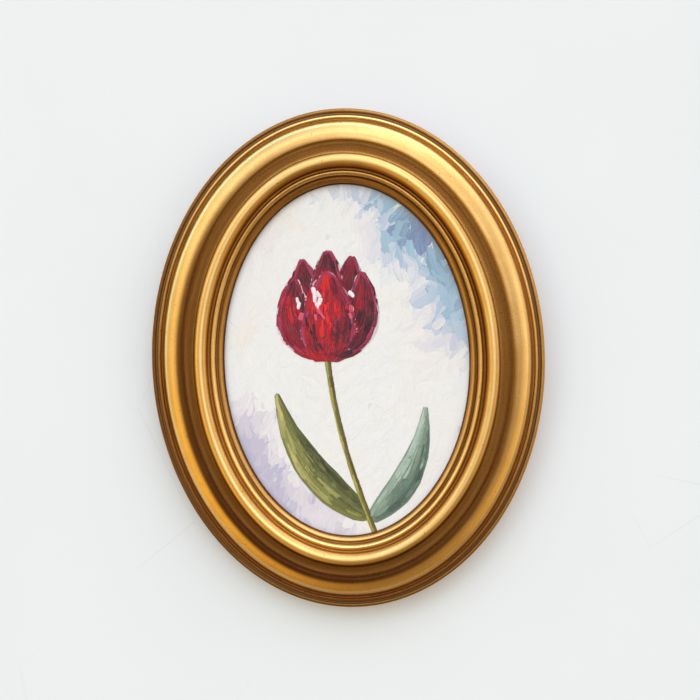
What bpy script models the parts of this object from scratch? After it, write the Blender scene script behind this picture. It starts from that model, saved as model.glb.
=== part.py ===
"""Oval gilt picture frame with a small painted panel, hung on a sawtooth hanger.

The model's frame: +Z is up, +X is to the viewer's right, the picture faces -Y, and the wall that
the object hangs on is the plane y = 0. The origin is the point where the wall nail carries the
hanger, so the oval's centre lies straight below it. Lengths are in metres.
"""
import math

import bmesh
import bpy

MM = 0.001

# Driving dimensions: the oval, its moulding and how far it stands off the wall.
SIGHT_HALF_WIDTH = 59.0 * MM
SIGHT_HALF_HEIGHT = 84.6 * MM
MOULDING_WIDTH = 36.0 * MM
CENTRE_BELOW_NAIL = 102.0 * MM
BUMPER_THICKNESS = 2.5 * MM
GAP = 0.3 * MM
SEGMENTS = 80

# The moulding's section. Across: out from the sight edge. Height: forward from its flat back.
RABBET_WIDTH = 5.0 * MM
RABBET_DEPTH = 10.0 * MM
BACK_CHAMFER = 0.6 * MM

# What lies in the rabbet, from the lip backwards.
PANEL_INSET = 0.5 * MM
PANEL_THICKNESS = 3.0 * MM
BACKING_THICKNESS = 2.5 * MM

# Flexible framer's points, pushed into slots in the rabbet wall.
POINT_COUNT = 8
POINT_WIDTH = 6.4 * MM
POINT_TAIL = 8.5 * MM
POINT_REACH = 4.0 * MM
POINT_THICKNESS = 0.6 * MM

# Sawtooth hanger and its two nails.
HANGER_LENGTH = 46.0 * MM
HANGER_HEIGHT = 9.0 * MM
HANGER_THICKNESS = 0.8 * MM
HANGER_RAISE = 1.3 * MM
HANGER_BEND_IN = 11.5 * MM
HANGER_BEND_OUT = 13.5 * MM
TOOTH_PITCH = 2.6 * MM
TOOTH_DEPTH = 1.6 * MM
NOTCH_COUNT = 7
NAIL_OFFSET = 18.5 * MM
NAIL_HEIGHT = 2.9 * MM
NAIL_SHANK_RADIUS = 0.7 * MM
NAIL_HEAD_RADIUS = 2.1 * MM
NAIL_HEAD_THICKNESS = 0.7 * MM
NAIL_LENGTH = 8.0 * MM

# Felt bumpers low on the back.
BUMPER_RADIUS = 6.0 * MM
BUMPER_ACROSS = 18.0 * MM
BUMPER_ANGLE = 45.0

# Worked out from the above.
OVAL_STRETCH = SIGHT_HALF_HEIGHT - SIGHT_HALF_WIDTH
BACK_Y = -BUMPER_THICKNESS - GAP
CENTRE_Z = -CENTRE_BELOW_NAIL
PANEL_FRONT = RABBET_DEPTH - GAP
PANEL_BACK = PANEL_FRONT - PANEL_THICKNESS
BACKING_FRONT = PANEL_BACK - GAP
BACKING_BACK = BACKING_FRONT - BACKING_THICKNESS
POINT_MIDDLE = BACKING_BACK - GAP - POINT_THICKNESS / 2
PANEL_ACROSS = RABBET_WIDTH - PANEL_INSET

# Colour, roughness and metallic value of each finish.
FINISHES = {
    "antique_gold": ((0.55, 0.34, 0.12), 0.36, 0.9),
    "painted_canvas_board": ((0.80, 0.78, 0.75), 0.6, 0.0),
    "grey_board": ((0.42, 0.38, 0.33), 0.9, 0.0),
    "blued_steel": ((0.22, 0.23, 0.25), 0.4, 1.0),
    "brassed_steel": ((0.62, 0.47, 0.2), 0.35, 1.0),
    "felt": ((0.16, 0.13, 0.11), 0.95, 0.0),
}


def clear_scene():
    """Remove every object of the open scene."""
    for obj in list(bpy.data.objects):
        bpy.data.objects.remove(obj, do_unlink=True)


def new_collection(name):
    """Make a collection and link it to the scene."""
    collection = bpy.data.collections.new(name)
    bpy.context.scene.collection.children.link(collection)
    return collection


def make_materials():
    """Make one Principled material for each finish."""
    materials = {}
    for name, (colour, roughness, metallic) in FINISHES.items():
        material = bpy.data.materials.new(name)
        material.use_nodes = True
        shader = material.node_tree.nodes["Principled BSDF"]
        shader.inputs["Base Color"].default_value = (*colour, 1.0)
        shader.inputs["Roughness"].default_value = roughness
        shader.inputs["Metallic"].default_value = metallic
        materials[name] = material
    return materials


def place(obj, name, collection, material=None):
    """Name an object, put it in its collection and give it its material."""
    obj.name = name
    for owner in list(obj.users_collection):
        owner.objects.unlink(obj)
    collection.objects.link(obj)
    if material is not None:
        obj.data.materials.clear()
        obj.data.materials.append(material)
    return obj


def mark_as_cutter(obj):
    """Keep a cutter out of the model."""
    obj.hide_render = True
    obj.display_type = 'WIRE'


def smooth(obj, angle=40.0):
    """Shade smooth, with edges sharper than the angle kept sharp."""
    obj.data.shade_smooth()
    obj.data.set_sharp_from_angle(angle=math.radians(angle))


def arc(centre_across, centre_height, radius, start, end, steps):
    """Points on an arc of the section; angles in degrees from straight outwards."""
    points = []
    for step in range(steps + 1):
        angle = math.radians(start + (end - start) * step / steps)
        across = centre_across + radius * math.cos(angle)
        height = centre_height + radius * math.sin(angle)
        points.append((across * MM, height * MM))
    return points


def moulding_section():
    """The closed section: the carved front outwards, the side down, the back and rabbet inwards."""
    lip_bead = arc(1.75, 12.0, 1.75, 180, 42, 5)
    second_bead = arc(5.65, 13.4, 1.65, 195, 20, 6)
    ridge = arc(12.1, 13.0, 3.75, 143, 37, 8)
    cushion = arc(21.0, 4.2, 11.0, 88, 40, 8)
    thin_bead = arc(31.75, 10.2, 0.95, 175, 25, 4)
    edge_bead = arc(34.9, 7.7, 1.1, 148, 0, 5)
    lip_quirk = [(3.15 * MM, 12.6 * MM), (3.9 * MM, 12.6 * MM)]
    bead_quirk = [(7.35 * MM, 13.5 * MM), (8.85 * MM, 13.5 * MM)]
    hollow = [(15.7 * MM, 14.95 * MM), (18.0 * MM, 14.8 * MM), (20.2 * MM, 15.0 * MM)]
    cushion_quirk = [(29.6 * MM, 10.4 * MM), (30.7 * MM, 10.3 * MM)]
    fillet = [(32.8 * MM, 8.5 * MM), (33.8 * MM, 8.35 * MM)]
    side = [(MOULDING_WIDTH, BACK_CHAMFER), (MOULDING_WIDTH - BACK_CHAMFER, 0.0)]
    rabbet = [(RABBET_WIDTH, 0.0), (RABBET_WIDTH, RABBET_DEPTH), (0.0, RABBET_DEPTH)]
    sight_side = lip_bead + lip_quirk + second_bead + bead_quirk
    middle = ridge + hollow + cushion + cushion_quirk
    return sight_side + middle + thin_bead + fillet + edge_bead + side + rabbet


def turn_oval(obj):
    """Replace a round turned object by its oval one.

    An oval lathe slides the work as it turns, which adds the same length to the height of every
    circle, so each circle becomes an oval whose half axes differ by OVAL_STRETCH.
    """
    depsgraph = bpy.context.evaluated_depsgraph_get()
    mesh = bpy.data.meshes.new_from_object(obj.evaluated_get(depsgraph))
    for vertex in mesh.vertices:
        radius = math.hypot(vertex.co.x, vertex.co.y)
        vertex.co.y += OVAL_STRETCH * vertex.co.y / radius
    obj.modifiers.clear()
    obj.data = mesh
    obj.rotation_euler = (math.radians(90), 0, 0)
    obj.location = (0, BACK_Y, CENTRE_Z)


def make_moulding(collection, material):
    """Turn the section round the opening's centre and make the ring oval."""
    section = moulding_section()
    mesh = bpy.data.meshes.new("frame_moulding")
    points = [(SIGHT_HALF_WIDTH + across, 0.0, height) for across, height in section]
    edges = [(i, (i + 1) % len(points)) for i in range(len(points))]
    mesh.from_pydata(points, edges, [])
    obj = bpy.data.objects.new("frame_moulding", mesh)
    place(obj, "frame_moulding", collection)
    screw = obj.modifiers.new("turn", 'SCREW')
    screw.axis = 'Z'
    screw.steps = SEGMENTS
    screw.render_steps = SEGMENTS
    screw.use_merge_vertices = True
    screw.merge_threshold = 0.01 * MM
    bpy.context.view_layer.update()
    turn_oval(obj)
    place(obj, "frame_moulding", collection, material)
    smooth(obj)
    return obj


def flat_outline(name, points, thickness, collection, material=None):
    """A flat plate from a closed outline, standing in the plane of the wall."""
    curve = bpy.data.curves.new(name, 'CURVE')
    curve.dimensions = '2D'
    curve.fill_mode = 'BOTH'
    curve.extrude = thickness / 2
    spline = curve.splines.new('POLY')
    spline.points.add(len(points) - 1)
    for point, (x, y) in zip(spline.points, points):
        point.co = (x, y, 0.0, 1.0)
    spline.use_cyclic_u = True
    obj = bpy.data.objects.new(name, curve)
    obj.rotation_euler = (math.radians(90), 0, 0)
    return place(obj, name, collection, material)


def as_mesh(obj):
    """Turn a curve object into a mesh object in the same place, with its caps welded on."""
    bpy.context.view_layer.update()
    depsgraph = bpy.context.evaluated_depsgraph_get()
    mesh = bpy.data.meshes.new_from_object(obj.evaluated_get(depsgraph))
    body = bmesh.new()
    body.from_mesh(mesh)
    bmesh.ops.remove_doubles(body, verts=body.verts, dist=0.001 * MM)
    body.to_mesh(mesh)
    body.free()
    name = obj.name
    collection = obj.users_collection[0]
    matrix = obj.matrix_world.copy()
    bpy.data.objects.remove(obj, do_unlink=True)
    solid = bpy.data.objects.new(name, mesh)
    solid.matrix_world = matrix
    return place(solid, name, collection)


def oval_points(across):
    """Corners of the oval that lies the given distance outside the sight edge."""
    points = []
    for step in range(SEGMENTS):
        angle = 2 * math.pi * step / SEGMENTS
        x = (SIGHT_HALF_WIDTH + across) * math.cos(angle)
        y = (SIGHT_HALF_HEIGHT + across) * math.sin(angle)
        points.append((x, y))
    return points


def make_oval_board(name, front, thickness, collection, material):
    """An oval board in the rabbet; front is its front face's height above the frame's back."""
    board = flat_outline(name, oval_points(PANEL_ACROSS), thickness, collection, material)
    board.location = (0, BACK_Y - front + thickness / 2, CENTRE_Z)
    return board


def rabbet_stations():
    """Places of the framer's points: a spot on the rabbet wall and the way into the wood."""
    stations = []
    for number in range(POINT_COUNT):
        angle = 2 * math.pi * (number + 0.5) / POINT_COUNT
        half_width = SIGHT_HALF_WIDTH + RABBET_WIDTH
        half_height = SIGHT_HALF_HEIGHT + RABBET_WIDTH
        x = half_width * math.cos(angle)
        z = half_height * math.sin(angle)
        outward = math.atan2(z / half_height ** 2, x / half_width ** 2)
        stations.append((x, z, outward))
    return stations


def make_framers_points(collection, material):
    """Thin steel points with their tips in the wood and their tails over the backing board."""
    half = POINT_WIDTH / 2
    outline = [
        (POINT_REACH, 0.0),
        (0.4 * MM, half),
        (-POINT_TAIL + 1.2 * MM, half),
        (-POINT_TAIL, half - 1.2 * MM),
        (-POINT_TAIL, 1.2 * MM - half),
        (-POINT_TAIL + 1.2 * MM, -half),
        (0.4 * MM, -half),
    ]
    for number, (x, z, outward) in enumerate(rabbet_stations(), start=1):
        name = f"framers_point_{number}"
        point = flat_outline(name, outline, POINT_THICKNESS, collection, material)
        point.rotation_euler = (math.radians(90), -outward, 0)
        point.location = (x, BACK_Y - POINT_MIDDLE, CENTRE_Z + z)


def make_slot_cutters(collection):
    """A box for each slot that a framer's point is pushed into."""
    inner = -2.0 * MM
    outer = POINT_REACH + GAP
    for number, (x, z, outward) in enumerate(rabbet_stations(), start=1):
        bpy.ops.mesh.primitive_cube_add(size=1.0)
        cutter = bpy.context.object
        cutter.scale = (outer - inner, POINT_THICKNESS + 2 * GAP, POINT_WIDTH + 2 * GAP)
        cutter.rotation_euler = (0, -outward, 0)
        middle = (inner + outer) / 2
        cutter.location = (
            x + middle * math.cos(outward),
            BACK_Y - POINT_MIDDLE,
            CENTRE_Z + z + middle * math.sin(outward),
        )
        place(cutter, f"slot_cutter_{number}", collection)
        mark_as_cutter(cutter)


def add_cylinder(name, radius, depth, location, collection, vertices=20):
    """A cylinder whose axis is square to the wall."""
    bpy.ops.mesh.primitive_cylinder_add(radius=radius, depth=depth, vertices=vertices)
    cylinder = bpy.context.object
    cylinder.rotation_euler = (math.radians(90), 0, 0)
    cylinder.location = location
    return place(cylinder, name, collection)


def make_nail_hole_cutters(collection):
    """Holes for the hanger's nails, through the hanger and into the wood."""
    depth = NAIL_LENGTH + 3 * MM
    middle = BACK_Y - NAIL_LENGTH - GAP + depth / 2
    for side, name in ((-1, "nail_hole_left"), (1, "nail_hole_right")):
        location = (side * NAIL_OFFSET, middle, NAIL_HEIGHT)
        hole = add_cylinder(name, NAIL_SHANK_RADIUS + GAP, depth, location, collection)
        mark_as_cutter(hole)


def cut(obj, operand, name):
    """Cut an object by another object, or by all the objects of a collection."""
    boolean = obj.modifiers.new(name, 'BOOLEAN')
    boolean.operation = 'DIFFERENCE'
    boolean.solver = 'EXACT'
    if isinstance(operand, bpy.types.Collection):
        boolean.operand_type = 'COLLECTION'
        boolean.collection = operand
    else:
        boolean.object = operand


def make_tooth_cutter(collection):
    """The zigzag under the hanger's bar; its middle notch has its top at the origin."""
    half = NOTCH_COUNT * TOOTH_PITCH / 2
    points = [(-half, -2 * TOOTH_DEPTH)]
    for number in range(NOTCH_COUNT):
        left = -half + number * TOOTH_PITCH
        points.append((left, -TOOTH_DEPTH))
        points.append((left + TOOTH_PITCH / 2, 0.0))
    points.append((half, -TOOTH_DEPTH))
    points.append((half, -2 * TOOTH_DEPTH))
    cutter = as_mesh(flat_outline("tooth_cutter", points, 8 * MM, collection))
    mark_as_cutter(cutter)
    return cutter


def make_hanger(collection, cutters, nail_holes, material):
    """A bent steel strip with a toothed lower edge, its ends flat on the wood."""
    half = HANGER_LENGTH / 2
    low = BACK_Y + GAP
    high = low + HANGER_RAISE
    spine = [(-half, low), (-HANGER_BEND_OUT, low), (-HANGER_BEND_IN, high)]
    spine += [(-x, y) for x, y in reversed(spine)]
    outline = spine + [(x, y + HANGER_THICKNESS) for x, y in reversed(spine)]
    strip = flat_outline("sawtooth_hanger", outline, HANGER_HEIGHT, collection)
    strip.rotation_euler = (0, 0, 0)
    strip.location = (0, 0, HANGER_HEIGHT / 2 - TOOTH_DEPTH)
    strip = as_mesh(strip)
    place(strip, "sawtooth_hanger", collection, material)
    cut(strip, make_tooth_cutter(cutters), "teeth")
    cut(strip, nail_holes, "nail holes")
    return strip


def make_hanger_nails(collection, material):
    """Round-headed nails: a profile of shank and low domed head, turned."""
    head_seat = BACK_Y + HANGER_THICKNESS + 2 * GAP
    profile = [
        (0.0, NAIL_HEAD_THICKNESS),
        (0.6 * NAIL_HEAD_RADIUS, 0.85 * NAIL_HEAD_THICKNESS),
        (NAIL_HEAD_RADIUS, 0.35 * NAIL_HEAD_THICKNESS),
        (NAIL_HEAD_RADIUS, 0.0),
        (NAIL_SHANK_RADIUS, 0.0),
        (NAIL_SHANK_RADIUS, -NAIL_LENGTH),
        (0.0, -NAIL_LENGTH - NAIL_SHANK_RADIUS),
    ]
    for side, name in ((-1, "hanger_nail_left"), (1, "hanger_nail_right")):
        mesh = bpy.data.meshes.new(name)
        points = [(radius, 0.0, height) for radius, height in profile]
        edges = [(i, i + 1) for i in range(len(points) - 1)]
        mesh.from_pydata(points, edges, [])
        nail = bpy.data.objects.new(name, mesh)
        place(nail, name, collection, material)
        screw = nail.modifiers.new("turn", 'SCREW')
        screw.steps = 16
        screw.render_steps = 16
        screw.use_merge_vertices = True
        screw.merge_threshold = 0.01 * MM
        nail.rotation_euler = (math.radians(-90), 0, 0)
        nail.location = (side * NAIL_OFFSET, head_seat, NAIL_HEIGHT)


def make_bumpers(collection, material):
    """Round felt bumpers that keep the low part of the back parallel to the wall."""
    angle = math.radians(BUMPER_ANGLE)
    x = (SIGHT_HALF_WIDTH + BUMPER_ACROSS) * math.sin(angle)
    z = CENTRE_Z - (SIGHT_HALF_HEIGHT + BUMPER_ACROSS) * math.cos(angle)
    for side, name in ((-1, "wall_bumper_left"), (1, "wall_bumper_right")):
        location = (side * x, -BUMPER_THICKNESS / 2, z)
        bumper = add_cylinder(name, BUMPER_RADIUS, BUMPER_THICKNESS, location, collection, 32)
        place(bumper, name, collection, material)
        bevel = bumper.modifiers.new("soft edge", 'BEVEL')
        bevel.width = 0.4 * MM
        bevel.segments = 2
        bevel.limit_method = 'ANGLE'
        smooth(bumper)


def main():
    """Build the framed picture."""
    clear_scene()
    model = new_collection("oval_framed_picture")
    cutters = new_collection("cutters")
    slots = new_collection("slots")
    nail_holes = new_collection("nail_holes")
    materials = make_materials()

    moulding = make_moulding(model, materials["antique_gold"])
    make_slot_cutters(slots)
    make_nail_hole_cutters(nail_holes)
    cut(moulding, slots, "point slots")
    cut(moulding, nail_holes, "nail holes")

    canvas = materials["painted_canvas_board"]
    make_oval_board("painted_panel", PANEL_FRONT, PANEL_THICKNESS, model, canvas)
    board = materials["grey_board"]
    make_oval_board("backing_board", BACKING_FRONT, BACKING_THICKNESS, model, board)
    make_framers_points(model, materials["blued_steel"])
    make_hanger(model, cutters, nail_holes, materials["brassed_steel"])
    make_hanger_nails(model, materials["brassed_steel"])
    make_bumpers(model, materials["felt"])


main()
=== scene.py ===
"""Looks of the oval framed picture: gilded moulding, painted panel and the hardware behind."""
from __future__ import annotations

import logging
import math
from dataclasses import dataclass, field
from enum import Enum
from typing import Any, Iterable, NamedTuple, Sequence

import bpy
import numpy as np
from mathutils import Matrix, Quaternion, Vector, noise

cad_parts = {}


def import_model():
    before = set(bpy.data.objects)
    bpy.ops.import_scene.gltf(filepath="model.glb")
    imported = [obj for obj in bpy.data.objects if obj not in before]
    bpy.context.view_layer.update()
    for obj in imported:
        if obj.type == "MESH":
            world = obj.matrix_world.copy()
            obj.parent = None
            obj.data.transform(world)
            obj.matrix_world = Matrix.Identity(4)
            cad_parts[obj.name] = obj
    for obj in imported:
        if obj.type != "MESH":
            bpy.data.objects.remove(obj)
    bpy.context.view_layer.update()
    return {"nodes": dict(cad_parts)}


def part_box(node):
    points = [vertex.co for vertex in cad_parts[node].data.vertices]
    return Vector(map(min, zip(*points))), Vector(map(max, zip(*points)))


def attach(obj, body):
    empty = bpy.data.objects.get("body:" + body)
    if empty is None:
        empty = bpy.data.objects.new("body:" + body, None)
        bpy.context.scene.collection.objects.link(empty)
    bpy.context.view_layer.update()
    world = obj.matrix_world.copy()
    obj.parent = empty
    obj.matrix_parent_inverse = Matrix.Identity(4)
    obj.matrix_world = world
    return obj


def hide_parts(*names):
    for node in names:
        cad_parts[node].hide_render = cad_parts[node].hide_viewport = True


LOG = logging.getLogger("oval_picture")
MM = 0.001
ROOT = "root"

Colour = tuple[float, float, float]
Point2 = tuple[float, float]


# --------------------------------------------------------------------------------------------
# Shader maths
# --------------------------------------------------------------------------------------------


class Wire:
    """An output socket; operators on it add the Math nodes that work the expression out."""

    def __init__(self, nodes: "Nodes", socket: bpy.types.NodeSocket) -> None:
        """Wrap an output socket of a node tree."""
        self.nodes = nodes
        self.socket = socket

    def _math(self, operation: str, *values: Any) -> "Wire":
        """Add one Math node.

        Args:
            operation: The Math node's operation.
            values: Wires or numbers for its inputs, in order.

        Returns:
            The node's output.
        """
        return self.nodes.node("ShaderNodeMath", {"operation": operation}, dict(enumerate(values)))

    def __add__(self, other: Any) -> "Wire":
        """Sum."""
        return self._math("ADD", self, other)

    def __radd__(self, other: Any) -> "Wire":
        """Sum, reflected."""
        return self._math("ADD", other, self)

    def __sub__(self, other: Any) -> "Wire":
        """Difference."""
        return self._math("SUBTRACT", self, other)

    def __rsub__(self, other: Any) -> "Wire":
        """Difference, reflected."""
        return self._math("SUBTRACT", other, self)

    def __mul__(self, other: Any) -> "Wire":
        """Product."""
        return self._math("MULTIPLY", self, other)

    def __rmul__(self, other: Any) -> "Wire":
        """Product, reflected."""
        return self._math("MULTIPLY", other, self)

    def __truediv__(self, other: Any) -> "Wire":
        """Quotient."""
        return self._math("DIVIDE", self, other)

    def __pow__(self, other: Any) -> "Wire":
        """Power."""
        return self._math("POWER", self, other)

    def least(self, other: Any) -> "Wire":
        """The smaller of two values."""
        return self._math("MINIMUM", self, other)

    def most(self, other: Any) -> "Wire":
        """The larger of two values."""
        return self._math("MAXIMUM", self, other)

    def between(self, low: float, high: float) -> "Wire":
        """A smooth step.

        Args:
            low: The value that gives 0; it may be the larger one.
            high: The value that gives 1.

        Returns:
            The step, from 0 to 1.
        """
        settings = {"interpolation_type": "SMOOTHSTEP", "clamp": True}
        inputs = {"Value": self, "From Min": low, "From Max": high}
        return self.nodes.node("ShaderNodeMapRange", settings, inputs, "Result")


class Nodes:
    """A node tree in the making."""

    def __init__(self, tree: bpy.types.NodeTree) -> None:
        """Take a tree up."""
        self.tree = tree

    def node(
        self,
        kind: str,
        settings: dict[str, Any] | None = None,
        inputs: dict[str | int, Any] | None = None,
        output: str | int = 0,
    ) -> Wire:
        """Add any node.

        Args:
            kind: The node's type.
            settings: Its properties; "points" gives a curve's corners.
            inputs: Its sockets' values or wires, by name or number.
            output: The output that is wanted.

        Returns:
            That output.
        """
        made = self.tree.nodes.new(kind)
        for key, value in (settings or {}).items():
            if key == "points":
                self._fill_curve(made.mapping, value)
            else:
                setattr(made, key, value)
        for key, value in (inputs or {}).items():
            self.feed(made.inputs[key], value)
        return Wire(self, made.outputs[output])

    def _fill_curve(self, mapping: bpy.types.CurveMapping, points: Sequence[Point2]) -> None:
        """Give a curve its corners, straight from one to the next.

        Args:
            mapping: The curve of a Float Curve node.
            points: Its corners, in order, all between 0 and 1.
        """
        line = mapping.curves[0]
        while len(line.points) < len(points):
            line.points.new(0.5, 0.5)
        for corner, place in zip(line.points, points):
            corner.location = place
            corner.handle_type = "VECTOR"
        mapping.update()

    def feed(self, socket: bpy.types.NodeSocket, value: Any) -> None:
        """Link a wire to a socket, or set the socket's value.

        Args:
            socket: The input socket.
            value: A wire, a number, a vector or a colour without its alpha.
        """
        if isinstance(value, Wire):
            self.tree.links.new(value.socket, socket)
        elif socket.type == "RGBA":
            socket.default_value = (*value, 1.0)
        else:
            socket.default_value = value

    def vector(self, operation: str, inputs: dict[str | int, Any], output: str = "Vector") -> Wire:
        """A Vector Math node."""
        return self.node("ShaderNodeVectorMath", {"operation": operation}, inputs, output)


class Recipe(Nodes):
    """A material in the making: one Principled shader and the nodes that feed it."""

    def __init__(self, name: str) -> None:
        """Start a material with a Principled shader.

        Args:
            name: The material's name.
        """
        self.material = bpy.data.materials.new(name)
        self.material.use_nodes = True
        super().__init__(self.material.node_tree)
        self.shader = self.tree.nodes["Principled BSDF"]

    def set(self, **values: Any) -> None:
        """Set or link the Principled shader's sockets; an underscore stands for a space."""
        for key, value in values.items():
            self.feed(self.shader.inputs[key.replace("_", " ")], value)

    def place(self) -> Wire:
        """The object's own coordinates, in metres."""
        return self.node("ShaderNodeTexCoord", output="Object")

    def attribute(self, name: str, output: str = "Fac") -> Wire:
        """A named attribute of the mesh."""
        return self.node("ShaderNodeAttribute", {"attribute_name": name}, output=output)

    def stretched(self, vector: Wire, scale: tuple[float, float, float]) -> Wire:
        """A vector with each axis scaled."""
        inputs = {"Vector": vector, "Scale": scale}
        return self.node("ShaderNodeMapping", {"vector_type": "POINT"}, inputs)

    def part(self, vector: Wire, axis: int) -> Wire:
        """One part of a vector: 0 is X, 1 is Y and 2 is Z."""
        return self.node("ShaderNodeSeparateXYZ", None, {0: vector}, axis)

    def grain(
        self, vector: Wire, scale: float, detail: float = 3.0, roughness: float = 0.55
    ) -> Wire:
        """Fractal noise between about 0 and 1."""
        inputs = {"Vector": vector, "Scale": scale, "Detail": detail, "Roughness": roughness}
        return self.node("ShaderNodeTexNoise", {"noise_dimensions": "3D"}, inputs, "Fac")

    def cells(self, vector: Wire, scale: float, feature: str = "F1") -> Wire:
        """Distances in Voronoi cells.

        Args:
            vector: Where the pattern is read.
            scale: Cells for each unit of length.
            feature: Which distance: to the cell's point, or to its edge.

        Returns:
            The distance.
        """
        settings = {"feature": feature, "voronoi_dimensions": "3D"}
        inputs = {"Vector": vector, "Scale": scale}
        return self.node("ShaderNodeTexVoronoi", settings, inputs, "Distance")

    def mix(self, amount: Any, first: Any, second: Any, blend: str = "MIX") -> Wire:
        """Mix two colours by an amount from 0 to 1."""
        settings = {"data_type": "RGBA", "blend_type": blend}
        return self.node("ShaderNodeMix", settings, {0: amount, 6: first, 7: second}, 2)

    def bump(
        self, height: Wire, depth: float, strength: float, below: Wire | None = None
    ) -> Wire:
        """A bump from a height between 0 and 1.

        Args:
            height: The height.
            depth: Metres from height 0 to height 1.
            strength: How much of the bump shows.
            below: A bump to add this one to.

        Returns:
            The normal.
        """
        inputs: dict[str | int, Any] = {"Height": height, "Distance": depth, "Strength": strength}
        if below is not None:
            inputs["Normal"] = below
        return self.node("ShaderNodeBump", None, inputs, "Normal")


# --------------------------------------------------------------------------------------------
# Finishes
# --------------------------------------------------------------------------------------------


def tint(red: float, green: float, blue: float) -> Colour:
    """A colour as a painter would read it off a chart, 0 to 255, turned to linear light."""
    parts = (red / 255, green / 255, blue / 255)
    return tuple(p / 12.92 if p <= 0.04045 else ((p + 0.055) / 1.055) ** 2.4 for p in parts)


class PaintedShadeZone(NamedTuple):
    """A band of the moulding with painted shade and light: more glaze on one side of the ring,
    less on the other.

    Start and end are millimetres out from the sight edge. Right and top are the coats that are
    added at the ring's far right and at its top, and taken off at the far side.
    """

    start: float
    end: float
    right: float
    top: float


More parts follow.
